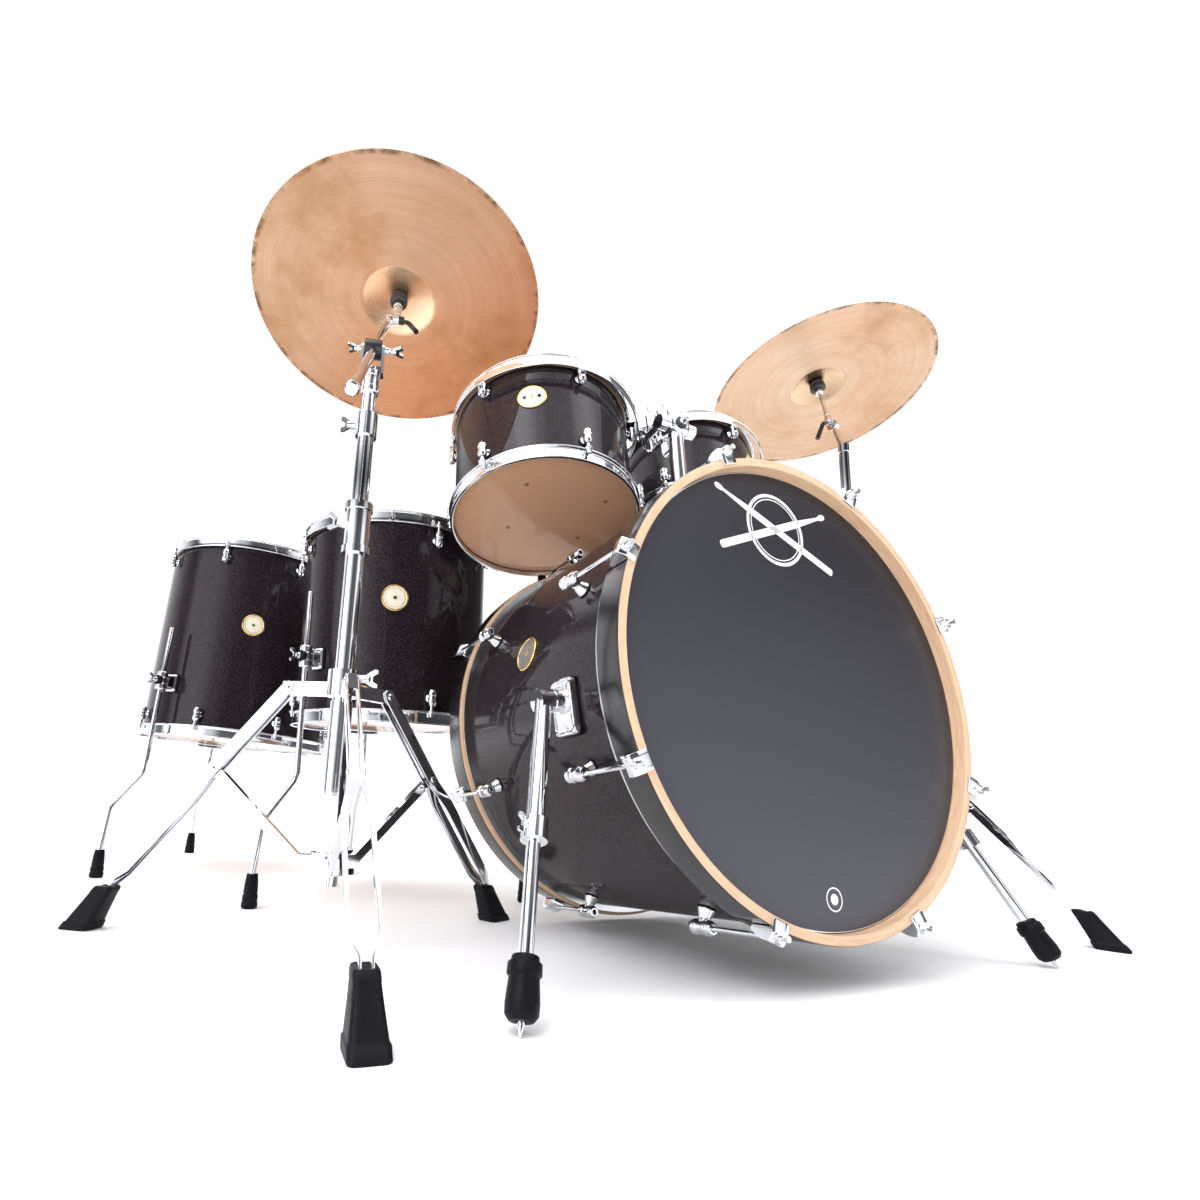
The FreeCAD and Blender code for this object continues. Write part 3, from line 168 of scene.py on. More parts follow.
def rounded(corners, radius, steps, closed=True):
    """A profile with its corners replaced by arcs. A corner may carry its own radius as a third value."""
    made, count = [], len(corners)
    for i, corner in enumerate(corners):
        here = Vector(corner[:2])
        own = corner[2] if len(corner) == 3 else radius
        if not closed and i in (0, count - 1) or own == 0:
            made.append(here)
            continue
        into, out = Vector(corners[i - 1][:2]) - here, Vector(corners[(i + 1) % count][:2]) - here
        turn = (math.pi - into.angle(out)) / 2
        if turn < 0.02:
            made.append(here)
            continue
        reach = min(own * math.tan(turn), into.length * 0.48, out.length * 0.48)
        first, last = here + into.normalized() * reach, here + out.normalized() * reach
        for step in range(steps + 1):
            t = step / steps
            made.append(first * (1 - t) ** 2 + here * 2 * t * (1 - t) + last * t ** 2)
    return made


def profile(points, edge=1.0, steps=3, closed=True):
    """A rounded profile from corners in millimetres."""
    return rounded([[value * MM for value in point] for point in points], edge * MM, steps, closed)


def mirrored(points):
    """A profile's lower half with its reflection above it."""
    return points + [(point[0], -point[1], *point[2:]) for point in reversed(points)]


def rounded_box(width, depth, radius, steps=4):
    """The outline of a rectangle with rounded corners, centred on the origin; sizes in millimetres."""
    w, d = width / 2, depth / 2
    return profile([(-w, -d), (w, -d), (w, d), (-w, d)], radius, steps)


def bent(points, bend, steps=6):
    """A route with its corners turned into arcs of about the bend radius."""
    route = [points[0]]
    for before, corner, after in zip(points, points[1:], points[2:]):
        into, out = (before - corner).normalized(), (after - corner).normalized()
        reach = bend * math.tan((math.pi - into.angle(out)) / 2)
        for step in range(steps + 1):
            t = step / steps
            route.append((corner + into * reach) * (1 - t) ** 2 + corner * 2 * t * (1 - t) +
                         (corner + out * reach) * t ** 2)
    return route + [points[-1]]


class Mesh:
    """Collects surfaces into one object."""

    def __init__(self):
        self.corners, self.faces = [], []

    def grid(self, rows, wrap_rows=False, wrap_columns=True, caps=False):
        """Joins rows of points with quads; caps close the first and last row."""
        start, width = len(self.corners), len(rows[0])
        self.corners += [Vector(p) for row in rows for p in row]
        for i in range(len(rows) if wrap_rows else len(rows) - 1):
            for j in range(width if wrap_columns else width - 1):
                a, b = i * width, ((i + 1) % len(rows)) * width
                k = (j + 1) % width
                self.faces.append([start + a + j, start + a + k, start + b + k, start + b + j])
        if caps:
            self.faces.append([start + j for j in reversed(range(width))])
            self.faces.append([start + (len(rows) - 1) * width + j for j in range(width)])
        return self

    def lathe(self, points, place, segments, closed=True, start=0.0, sweep=2 * math.pi):
        """Turns a profile of (radius, height) points about Z."""
        full = sweep > 6.28
        count = segments if full else segments + 1
        angles = [start + sweep * step / segments for step in range(count)]
        rows = [[place @ Vector((x * math.cos(a), x * math.sin(a), y)) for a in angles] for x, y in points]
        self.grid(rows, wrap_rows=closed, wrap_columns=full)
        if not full:
            for edge in (0, count - 1):
                base = len(self.corners) - len(rows) * count
                self.faces.append([base + i * count + edge for i in range(len(rows))])
        return self

    def turned(self, points, edge, place, segments, steps=3, closed=True):
        """Turns a profile in millimetres, with its corners rounded."""
        return self.lathe(profile(points, edge, steps, closed), place, segments, closed)

    def rod(self, radius, low, high, edge, place, segments):
        """A solid cylinder along Z with rounded edges, in millimetres."""
        points = [(0, low), (radius, low), (radius, high), (0, high)]
        return self.turned(points, edge, place, segments, 4, closed=False)

    def stack(self, outline, levels, place):
        """A solid through an outline at each (height in millimetres, scale)."""
        return self.grid([[place @ Vector((p.x * scale, p.y * scale, height * MM)) for p in outline]
                          for height, scale in levels], caps=True)

    def sweep(self, route, sizes, segments):
        """A round bar along a list of points, with a radius for each."""
        rows, side = [], None
        for i, point in enumerate(route):
            ahead = route[min(i + 1, len(route) - 1)] - route[max(i - 1, 0)]
            tangent = ahead.normalized()
            side = side or tangent.orthogonal()
            side = (side - tangent * side.dot(tangent)).normalized()
            across = tangent.cross(side)
            rows.append([point + (side * math.cos(a) + across * math.sin(a)) * sizes[i]
                         for a in (2 * math.pi * k / segments for k in range(segments))])
        return self.grid(rows, caps=True)

    def piece(self, name, material, body, slot, replaces=(), sharp=32):
        """Makes the object, gives it its finish and fixes it to a body."""
        data = bpy.data.meshes.new(name)
        data.from_pydata(self.corners, [], self.faces)
        shape = bmesh.new()
        shape.from_mesh(data)
        bmesh.ops.remove_doubles(shape, verts=shape.verts, dist=1e-6)
        bmesh.ops.recalc_face_normals(shape, faces=shape.faces)
        shape.to_mesh(data)
        shape.free()
        data.polygons.foreach_set("use_smooth", [True] * len(data.polygons))
        data.set_sharp_from_angle(angle=math.radians(sharp))
        data.materials.append(material)
        made = bpy.data.objects.new(name, data)
        bpy.context.scene.collection.objects.link(made)
        bpy.context.view_layer.update()
        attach(made, body)
        if replaces:
            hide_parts(*replaces)


# ---------------------------------------------------------------- materials


def opaque(value):
    """A colour, or a grey from a plain number, with its alpha."""
    return (*value, 1) if isinstance(value, tuple) else (value, value, value, 1)


def set_levels(ramp, stops):
    """Fills a colour ramp with colours at positions from 0 to 1."""
    while len(ramp.elements) < len(stops):
        ramp.elements.new(0.5)
    for element, (where, colour) in zip(ramp.elements, stops):
        element.position, element.color = where, opaque(colour)


class Shader:
    """A procedural material on one Principled shader."""

    def __init__(self, name, **sockets):
        self.material = bpy.data.materials.new(name)
        self.material.use_nodes = True
        self.tree = self.material.node_tree
        self.surface = self.tree.nodes["Principled BSDF"]
        for socket, value in sockets.items():
            self.surface.inputs[socket.replace("_", " ")].default_value = value

    def node(self, kind, inputs=None, **settings):
        made = self.tree.nodes.new("ShaderNode" + kind)
        for key, value in settings.items():
            setattr(made, key, value)
        for key, value in (inputs or {}).items():
            if isinstance(value, bpy.types.NodeSocket):
                self.tree.links.new(value, made.inputs[key])
            else:
                made.inputs[key].default_value = value
        return made

    def into(self, socket, value):
        self.tree.links.new(value, self.surface.inputs[socket])

    def place(self, matrix=None):
        """Object coordinates, read in a frame of their own if one is given."""
        vector = self.node("TexCoord").outputs["Object"]
        if matrix is None:
            return vector
        mapped = self.node("Mapping", {"Vector": vector}, vector_type="TEXTURE")
        mapped.inputs["Location"].default_value = matrix.to_translation()
        mapped.inputs["Rotation"].default_value = matrix.to_euler()
        return mapped.outputs["Vector"]

    def math(self, operation, a, b=0.0):
        return self.node("Math", {0: a, 1: b}, operation=operation).outputs[0]

    def radius(self, vector):
        flat = self.node("VectorMath", {0: vector, 1: (1, 1, 0)}, operation="MULTIPLY").outputs[0]
        return self.node("VectorMath", {0: flat}, operation="LENGTH").outputs["Value"]

    def axis(self, vector, name):
        return self.node("SeparateXYZ", {0: vector}).outputs[name]

    def noise(self, vector, scale, detail=3.0, roughness=0.5):
        inputs = {"Vector": vector, "Scale": scale, "Detail": detail, "Roughness": roughness}
        return self.node("TexNoise", inputs).outputs["Fac"]

    def rings(self, value, scale, detail):
        """Noise along one number, such as a radius."""
        made = self.node("TexNoise", {"W": value, "Scale": scale, "Detail": detail}, noise_dimensions="1D")
        return made.outputs["Fac"]

    def cells(self, vector, scale):
        """A random value for each small cell."""
        colour = self.node("TexVoronoi", {"Vector": vector, "Scale": scale}).outputs["Color"]
        return self.node("SeparateColor", {0: colour}).outputs[0]

    def ramp(self, value, *stops):
        """Colours or numbers at positions from 0 to 1."""
        made = self.node("ValToRGB", {0: value})
        set_levels(made.color_ramp, stops)
        return made.outputs["Color"]

    def mix(self, factor, a, b, blend="MIX"):
        made = self.node("Mix", data_type="RGBA", blend_type=blend)
        for socket, value in ((made.inputs["Factor"], factor), (made.inputs[6], a), (made.inputs[7], b)):
            if isinstance(value, bpy.types.NodeSocket):
                self.tree.links.new(value, socket)
            else:
                socket.default_value = (*value, 1) if isinstance(value, tuple) else value
        return made.outputs[2]

    def step(self, value, edge, width):
        """0 below an edge and 1 above it."""
        ends = {"From Min": edge - width / 2, "From Max": edge + width / 2}
        return self.node("MapRange", {"Value": value, **ends}).outputs[0]

    def bump(self, height, strength, distance):
        made = self.node("Bump", {"Height": height, "Strength": strength, "Distance": distance})
        self.into("Normal", made.outputs[0])

    def mottled(self, tone, low, high, rough):
        """Two colours and two roughness levels mixed by one noise."""
        self.into("Base Color", self.mix(tone, low, high))
        self.into("Roughness", self.ramp(tone, *rough))


def chrome_finish(name, dullest):
    """Bright chrome with faint patches that are a little duller."""
    made = Shader(name, Base_Color=(0.74, 0.75, 0.78, 1), Metallic=1.0)
    place = made.place()
    haze = made.noise(place, 14.0, 4.0, 0.6)
    made.into("Roughness", made.ramp(haze, (0.35, 0.03), (0.72, dullest)))
    made.bump(made.noise(place, 260.0, 2.0), 0.03, 0.0004)
    return made.material


def lacquer_finish(drum, wall_radius):
    """Near-black sparkle lacquer outside, sealed maple inside."""
    made = Shader(drum.name + "_lacquer", Specular_IOR_Level=0.05, Coat_Weight=0.42, Coat_Roughness=0.015)
    place = made.place(drum.frame)
    flake = made.cells(place, 1500.0)
    cloud = made.noise(place, 26.0, 4.0)
    dark = made.mix(cloud, (0.0035, 0.0022, 0.0030), (0.0085, 0.0055, 0.0070))
    sparkle = made.mix(made.ramp(flake, (0.74, 0.0), (0.98, 1.0)), dark, (0.075, 0.050, 0.062))
    stretched = made.node("Mapping", {"Vector": place, "Scale": (1, 1, 0.12)}).outputs[0]
    grain = made.noise(stretched, 120.0, 5.0, 0.6)
    maple = made.ramp(grain, (0.3, (0.50, 0.29, 0.15)), (0.7, (0.70, 0.46, 0.27)))
    outside = made.step(made.radius(place), wall_radius, 0.001)
    made.into("Base Color", made.mix(outside, maple, sparkle))
    made.into("Roughness", made.ramp(flake, (0.0, 0.34), (1.0, 0.48)))
    made.bump(made.noise(place, 700.0, 2.0), 0.04, 0.0002)
    return made.material


def bass_hoop_finish(drum, outer_radius):
    """Natural maple with black lacquer on its outside."""
    made = Shader("hoop_maple", Coat_Weight=0.35, Coat_Roughness=0.12)
    place = made.place(drum.frame)
    angle = made.math("ARCTAN2", made.axis(place, "Y"), made.axis(place, "X"))
    radius = made.radius(place)
    scaled = [made.math("MULTIPLY", value, scale)
              for value, scale in ((angle, 0.9), (radius, 34.0), (made.axis(place, "Z"), 30.0))]
    around = made.node("CombineXYZ", dict(enumerate(scaled))).outputs[0]
    grain = made.noise(around, 9.0, 6.0, 0.62)
    figure = made.noise(around, 2.2, 3.0)
    maple = made.ramp(grain, (0.25, (0.52, 0.31, 0.17)), (0.5, (0.68, 0.44, 0.27)),
                      (0.78, (0.80, 0.57, 0.38)))
    warm = made.mix(made.ramp(figure, (0.35, 0.0), (0.65, 0.5)), maple, (0.74, 0.51, 0.33))
    black = made.step(radius, outer_radius - 0.0009, 0.0005)
    made.into("Base Color", made.mix(black, warm, (0.006, 0.005, 0.006)))
    made.into("Roughness", made.mix(black, (0.42, 0.42, 0.42), (0.16, 0.16, 0.16)))
    made.bump(grain, 0.08, 0.0005)
    return made.material


def dark_head_finish(drum):
    """A smooth dark film head with a fine coating in a silver flesh hoop, with painted shade: paler towards its
    foot, darker towards its top and a little towards its right.
    """
    made = Shader("dark_film", Specular_IOR_Level=0.35, Coat_Weight=0.05, Coat_Roughness=0.3)
    place = made.place(drum.frame)
    # Painted shade: the colour runs from paler at the foot to darker at the top, and a little darker towards the
    # right.
    up = made.math("DIVIDE", made.axis(place, "Y"), drum.head_radius * 2)
    across = made.math("DIVIDE", made.axis(place, "X"), drum.head_radius * 5)
    painted_shade_ramp = made.math("ADD", made.math("ADD", up, across), 0.5)
    specks = made.noise(place, 900.0, 2.0)
    tone = made.ramp(painted_shade_ramp, (0.0, (0.054, 0.054, 0.069)), (0.45, (0.028, 0.028, 0.038)),
                     (0.9, (0.009, 0.008, 0.013)))
    film = made.mix(made.ramp(specks, (0.70, 0.0), (0.85, 0.12)), tone, (0.08, 0.08, 0.095))
    rim = made.step(made.radius(place), drum.head_radius - 0.0085, 0.0004)
    made.into("Base Color", made.mix(rim, film, (0.72, 0.73, 0.75)))
    made.into("Metallic", rim)
    made.into("Roughness", made.mix(rim, made.ramp(specks, (0.2, 0.30), (0.8, 0.36)), (0.2, 0.2, 0.2)))
    made.bump(specks, 0.03, 0.0001)
    return made.material


def film_finish(name, tint, alpha, place_at=None, screws=()):
    """A clear film head with the maple of the drum behind it, and the screws that show through it."""
    made = Shader(name, Alpha=alpha)
    place = made.place(place_at)
    haze = made.noise(place, 5.0, 2.0)
    tone = made.mix(haze, tint, tuple(min(1.0, c * 1.12) for c in tint))
    for x, y in screws:
        reach = made.node("VectorMath", {0: place, 1: (x, y, 0)}, operation="SUBTRACT").outputs[0]
        spot = made.ramp(made.math("MULTIPLY", made.radius(reach), 100), (0.2, 0.75), (0.55, 0.0))
        tone = made.mix(spot, tone, (0.10, 0.045, 0.03))
    made.into("Base Color", tone)
    made.into("Roughness", made.ramp(haze, (0.3, 0.10), (0.7, 0.14)))
    made.bump(made.noise(place, 900.0, 2.0), 0.02, 0.0001)
    return made.material


def rubber_finish():
    made = Shader("black_rubber", Specular_IOR_Level=0.12)
    place = made.place()
    wear_and_shade = made.noise(place, 60.0, 4.0)
    made.mottled(wear_and_shade, (0.003, 0.003, 0.005), (0.008, 0.0075, 0.010), ((0.3, 0.36), (0.7, 0.52)))
    made.bump(made.noise(place, 1400.0, 3.0), 0.12, 0.0003)
    return made.material


def plastic_finish():
    made = Shader("black_plastic")
    place = made.place()
    made.into("Base Color", made.mix(made.noise(place, 90.0), (0.010, 0.010, 0.011), (0.020, 0.020, 0.022)))
    made.into("Roughness", made.ramp(made.noise(place, 300.0), (0.3, 0.26), (0.7, 0.36)))
    made.bump(made.noise(place, 2200.0, 2.0), 0.06, 0.0002)
    return made.material


def felt_finish():
    made = Shader("black_felt", Sheen_Weight=0.6, Sheen_Roughness=0.5)
    place = made.place()
    fibre = made.noise(place, 1600.0, 6.0, 0.75)
    made.mottled(fibre, (0.008, 0.008, 0.009), (0.045, 0.045, 0.048), ((0.2, 0.85), (0.8, 1.0)))
    made.bump(fibre, 0.6, 0.0008)
    return made.material


def enamel_finish(name, low, high):
    made = Shader(name, Coat_Weight=0.5, Coat_Roughness=0.06)
    place = made.place()
    tone = made.noise(place, 160.0, 3.0)
    made.mottled(tone, low, high, ((0.3, 0.25), (0.7, 0.36)))
    made.bump(tone, 0.04, 0.0002)
    return made.material


def gold_finish():
    made = Shader("gold_rim", Base_Color=(0.80, 0.58, 0.22, 1), Metallic=1.0)
    place = made.place()
    made.into("Roughness", made.ramp(made.noise(place, 220.0), (0.3, 0.16), (0.7, 0.30)))
    made.bump(made.noise(place, 900.0), 0.05, 0.0002)
    return made.material


def bronze_finish(name, frame_at, radius, bell, seed, shade):
    """Turned bronze: lathe lines, cloudy tarnish, a brighter bell, a painted shade in patches along its edge, and
    a painted shade factor that darkens the whole colour.
    """
    made = Shader(name, Anisotropic=0.6)
    place = made.place(frame_at)
    shifted = made.node("VectorMath", {0: place, 1: (seed, seed * 0.7, 0)}, operation="ADD").outputs[0]
    out = made.radius(place)
    bands = made.rings(out, 620.0, 4.0)
    wide = made.rings(out, 60.0, 3.0)
    cloud = made.noise(shifted, 5.0, 5.0, 0.62)
    smudge = made.noise(shifted, 24.0, 4.0, 0.7)
    base = made.ramp(cloud, (0.32, (0.60, 0.35, 0.18)), (0.48, (0.84, 0.58, 0.38)),
                     (0.70, (0.93, 0.72, 0.54)))
    lined = made.mix(made.ramp(bands, (0.35, 0.35), (0.65, 0.0)), base, (0.60, 0.35, 0.18))
    toned = made.mix(made.ramp(wide, (0.35, 0.25), (0.6, 0.0)), lined, (0.62, 0.38, 0.21))
    marked = made.mix(made.ramp(smudge, (0.60, 0.0), (0.80, 0.45)), toned, (0.50, 0.28, 0.13))
    # Painted shade: the edge is darkened in patches.
    edge = made.step(out, radius * 0.975, radius * 0.02)
    wear_and_shade = made.math("MULTIPLY", edge, made.ramp(smudge, (0.45, 0.0), (0.6, 0.8)))
    shaded_edge = made.mix(wear_and_shade, marked, (0.16, 0.085, 0.04))
    dome = made.step(out, bell, 0.004)
    tone = made.mix(dome, (0.86, 0.62, 0.40), shaded_edge)
    # Painted shade: the whole colour is multiplied by the shade factor, 1.0 for the ride and 0.64 for the crash.
    made.into("Base Color", made.mix(1.0, tone, (shade, shade * 0.98, shade), "MULTIPLY"))
    made.into("Metallic", made.ramp(smudge, (0.4, 1.0), (0.9, 0.82)))
    rough = made.ramp(cloud, (0.25, 0.36), (0.75, 0.27))
    made.into("Roughness", made.mix(dome, (0.24, 0.24, 0.24), rough))
    grooves = made.math("SINE", made.math("MULTIPLY", out, 2 * math.pi / 0.0011))
    depth = made.math("ADD", made.math("MULTIPLY", grooves, 0.35), made.math("MULTIPLY", bands, 1.4))
    made.bump(depth, 0.22, 0.0005)
    around = made.node("Tangent", direction_type="RADIAL", axis="Z").outputs[0]
    made.into("Tangent", around)
    return made.material


def print_finish():
    """White printing on a film head."""
    made = Shader("white_print", Coat_Weight=0.2, Coat_Roughness=0.3)
    place = made.place()
    ink = made.noise(place, 240.0, 3.0)
    made.mottled(ink, (0.80, 0.80, 0.80), (0.90, 0.90, 0.90), ((0.3, 0.4), (0.7, 0.55)))
    made.bump(ink, 0.03, 0.0001)
    return made.material


# ---------------------------------------------------------------- the five drums

RACK_TOMS = ("tom_12", "tom_10")
ON_BODY = {"tom_12": ["tom_12"], "tom_10": ["tom_10"], "kit": ["bass", "floor_tom_14", "floor_tom_16"]}
RIM_OUT, BASS_RIM_OUT = 2.9, 8.4        # from a shell to the outside of its flesh hoop
ROD_OUT, ROD_HOLE = 11.4, 3.3           # from a tom's shell to its tension rods, and a rod's hole
TOM_LUG, BASS_LUG = (ROD_OUT, 14, 7.3), (22.0, 17, 9)       # how far out, half length and radius
SHELL_WALL = 2.6
HOOP_IN, HOOP_OUT = 2.1, 13.6           # from the bass shell to its hoops' inside and outside
HOOP_WIDTH, HOOP_FRONT = 38, 15.8       # a bass hoop's width, and from the shell's edge to its front


def make_drums():
    """The five drums, each with the places of its lugs."""
    floor_heads = sorted(islands("floor_tom_heads"), key=lambda solid: solid[0][:, 1].mean())
    drums = {"bass": Drum("bass", "kit", islands("bass_heads"), lambda p: p.y)}
    for name in RACK_TOMS:
        drums[name] = Drum(name, name, islands(name + "_heads"), lambda p: -p.z)
    drums["floor_tom_14"] = Drum("floor_tom_14", "kit", floor_heads[:2], lambda p: -p.z)
    drums["floor_tom_16"] = Drum("floor_tom_16", "kit", floor_heads[2:], lambda p: -p.z)
    for drum in drums.values():
        drum.radius = drum.head_radius - (BASS_RIM_OUT if drum.name == "bass" else RIM_OUT) * MM
        for middle in middles(drum.name + "_lugs" if drum.name in RACK_TOMS else "shell_lugs"):
            if drum.holds(middle, drum.radius + 30 * MM):
                drum.lugs.append((drum.azimuth(middle), drum.local(middle).z))
    return drums


def drum_with(drums, body, point, reach):
    """The drum on a body whose wall a point is near."""
    return next(d for d in drums.values() if d.body == body and d.holds(point, d.radius + reach * MM))


def lug_parts(metal, gasket, place, reach, half, radius):
    """A lug: a waisted barrel for the rod on a round post with a rubber gasket."""
    nose, waist, base = radius * 0.72, radius * 0.86, radius * 1.12
    barrel = mirrored([(ROD_HOLE, -half), (nose, -half, 0.8), (radius, -half * 0.66, 2),
                       (radius, -half * 0.30, 1), (waist, -half * 0.22, 0.8)])
    metal.turned(barrel, 0.6, place @ shift(reach), 28, 4)
    post = [(0, 0.9), (base, 0.9, 1.2), (base * 0.98, 2.6, 2), (radius * 0.72, reach * 0.55, 3),
            (radius * 0.66, reach), (0, reach)]
    metal.turned(post, 1, place @ Z_TO_X, 28, 4, closed=False)
    pad = [(0, 0.05), (base + 0.8, 0.05), (base + 0.8, 0.95), (0, 0.95)]
    gasket.turned(pad, 0.3, place @ Z_TO_X, 28, 2, closed=False)


def add_lugs(drums, chrome, rubber):
    """Every lug barrel, grouped as its CAD node is."""
    for body, names in ON_BODY.items():
        metal, gasket = Mesh(), Mesh()
        for drum in (drums[name] for name in names):
            for azimuth, height in drum.lugs:
                place = drum.at(azimuth, drum.radius, height)
                lug_parts(metal, gasket, place, *(BASS_LUG if drum.name == "bass" else TOM_LUG))
        node = "shell_lugs" if body == "kit" else body + "_lugs"
        metal.piece(node + "_chrome", chrome, body, "chrome", [node], 40)
        gasket.piece(node + "_gaskets", rubber, body, "rubber")


def flanged_hoop(mesh, drum, place, azimuths):
    """A rolled metal hoop with a flange, a curled lip and an ear at each rod."""
    shell, low, high, sheet = drum.radius / MM, drum.half / MM - 12, drum.half / MM + 11, 2.3
    inner, wall, lip, flange = (shell + out for out in (3.4, 5.6, 8.5, 10.5))
    section = [(inner, low, 1.4), (flange, low), (flange, low + sheet), (wall, low + sheet, 1.6),
               (wall, high - sheet, 1.4), (lip, high - sheet), (lip, high), (inner, high, 1.5)]
    mesh.turned(section, 1, place, 144, 4)
    ear = [(ROD_HOLE, 0), (6.2, 0), (6.2, sheet), (ROD_HOLE, sheet)]
    for azimuth in azimuths:
        spot = Matrix.Rotation(azimuth, 4, "Z") @ shift(shell + ROD_OUT, 0, low)
        mesh.turned(ear, 0.8, place @ spot, 24)


def add_tom_hoops(drums, chrome):
    """Both hoops of each tom; the lower one is the upper one turned over."""
    for body, names in ON_BODY.items():
        mesh = Mesh()
        for drum in (drums[name] for name in names if name != "bass"):
            upper = [azimuth for azimuth, height in drum.lugs if height > 0]
            flanged_hoop(mesh, drum, drum.frame, upper)
            flanged_hoop(mesh, drum, drum.frame @ FLIP, [-azimuth for azimuth in upper])
        node = "floor_tom_hoops" if body == "kit" else body + "_hoops"
        mesh.piece(node + "_rolled", chrome, body, "chrome", [node], 50)


def claw_parts(mesh, place):
    """A cast claw hook in its own frame: X outwards from the hoop's outside, Z out of the drum."""
    lift = 8.4
    side = profile([
        (-9, 0.2, 0.2), (-9, 3.2, 1.4), (lift - 3, 4.6, 3), (lift + 7, 0.5, 4), (lift + 5.5, -10, 5),
        (lift - 2, -25, 2), (0.3, -25, 0.4), (0.3, 0.2, 0.2)], 1, 4)
    centre = Vector((lift, -8)) * MM
    rows = []
    for width, grow in ((-11, 0.94), (-10, 1.0), (-4, 1.0), (4, 1.0), (10, 1.0), (11, 0.94)):
        grown = [centre + (p - centre) * grow for p in side]
        rows.append([place @ Vector((p.x, width * MM, p.y)) for p in grown])
    mesh.grid(rows, caps=True)
    boss = [(3.4, -4), (6.4, -4), (6.4, 5.6), (3.4, 5.6)]
    mesh.turned(boss, 0.8, place @ shift(lift), 24)


def add_bass_claws(drum, chrome):
    """The bass drum's claws, one for each lug."""
    claws = Mesh()
    rim = Matrix.Translation((drum.radius + HOOP_OUT * MM, 0, drum.half + HOOP_FRONT * MM))
    for azimuth, height in drum.lugs:
        end, turn = (drum.frame, azimuth) if height > 0 else (drum.frame @ FLIP, -azimuth)
        claw_parts(claws, end @ Matrix.Rotation(turn, 4, "Z") @ rim)
    claws.piece("bass_claws_cast", chrome, "kit", "chrome", ["bass_claws"], 40)


def add_bass_hoops(drum, finish):
    hoops = Mesh()
    inner, outer = drum.radius / MM + HOOP_IN, drum.radius / MM + HOOP_OUT
    front = drum.half / MM + HOOP_FRONT
    back = front - HOOP_WIDTH
    section = [(inner, back), (outer, back, 1.8), (outer, front, 2.2), (inner, front, 1.2)]
    for end in (drum.frame, drum.frame @ FLIP):
        hoops.turned(section, 1, end, 256, 5)
    hoops.piece("bass_hoops_turned", finish, "kit", "hoop_wood", ["bass_hoops"], 60)


# ---------------------------------------------------------------- cymbals

# shade is a painted shade: a factor that darkens a cymbal's whole bronze colour.
RIDE = {"radius": 0.254, "bell": 0.066, "bow": 0.020, "height": 0.038, "seed": 3.1, "shade": 1.0}
CRASH = {"radius": 0.2286, "bell": 0.056, "bow": 0.017, "height": 0.032, "seed": 8.4, "shade": 0.64}


def add_cymbal(name, radius, bell, bow, height, seed, shade):
    """A turned cymbal: domed bell, gently bowed body and a plain rounded edge."""
    hole, sheet, sag = 6.6 * MM, 1.2 * MM, 2.6 * MM
    shoulder = bow - height

    def surface(r):
        if r < bell:
            t = (r - hole) / (bell - hole)
            return shoulder * (0.30 * t + 0.70 * t ** 2.4)
        t = (r - bell) / (radius - bell)
        return shoulder - bow * t + 4 * sag * t * (1 - t)

    steps = [hole + (bell - hole) * i / 14 for i in range(14)]
    steps += [bell + (radius - bell) * i / 30 for i in range(31)]
    upper = [Vector((r, surface(r))) for r in steps]
    lower = [Vector((r, surface(r) - sheet)) for r in reversed(steps)]
    edge = [Vector((radius + 0.3 * MM, surface(radius) - sheet / 2))]
    point, axis = joint(name + "_spin")
    place = facing(point, axis)
    finish = bronze_finish(name + "_bronze", place, radius, bell, seed, shade)
    mesh = Mesh().lathe(upper + edge + lower, place, 180)
    mesh.piece(name + "_cymbal_turned", finish, name, "cymbal_bronze", [name + "_cymbal"], 50)


# ---------------------------------------------------------------- feet and boots

FOOT_RADIUS, HUB_ARM, HUB_HEIGHT = 332.5, 74, 314       # of a stand's legs
BAR_GAP, BAR_FLARE, BAR_CLOSED = 5.4, 12.5, 4           # half the gap between a leg's bars, along it
BAR_SHEET, BAR_WIDTH, STRUT_ALONG = 2.4, 16, 140        # a bar, and how far along it the strut meets it
BOOT_SOLE, BOOT_TOP, BOOT_HEIGHT = (-28, 16), (-51, -24), 54        # a boot's ends
LEG_OUT, LEG_ROD, LEG_BOOT = 29, 5, 52                  # of a floor tom's legs
KNEE, ANKLE, SPLAY, TOE_OUT, BEND = 202 * MM, 134 * MM, 58 * MM, 14 * MM, 30 * MM       # of their bends


def leg_bars(place, length):
    """A pair of flat bars that flare apart and close again, with their hinge pin and strut rivets."""
    mesh = Mesh()
    line = ((-9, BAR_GAP), (0, BAR_GAP), (152, BAR_GAP), (186, BAR_FLARE), (length - 66, BAR_FLARE),
            (length - 46, BAR_CLOSED), (length - 36, BAR_CLOSED), (length - 20, BAR_CLOSED))
    for side in (1, -1):
        rows = []
        for x, near in line:
            width = BAR_WIDTH * (0.55 if x < 0 or x > length - 37 else 1.0)
            section = rounded_box(BAR_SHEET, width, 0.7, 2)
            away = (near + BAR_SHEET / 2) * MM
            rows.append([place @ Vector((x * MM, side * (away + p.x), p.y)) for p in section])
        mesh.grid(rows, caps=True)
    outside = BAR_GAP + BAR_SHEET
    head = [(0, 0), (4.6, 0), (4.4, 1.2), (2.6, 2.1), (0, 2.2)]
    for x in (0, STRUT_ALONG):
        for turn in (0, math.pi):
            rivet = place @ shift(x) @ Matrix.Rotation(turn, 4, "X") @ Z_TO_MINUS_Y @ shift(0, 0, outside)
            mesh.turned(head, 0.6, rivet, 20, closed=False)
    return mesh.rod(3, -outside, outside, 0, place @ Z_TO_MINUS_Y, 20)


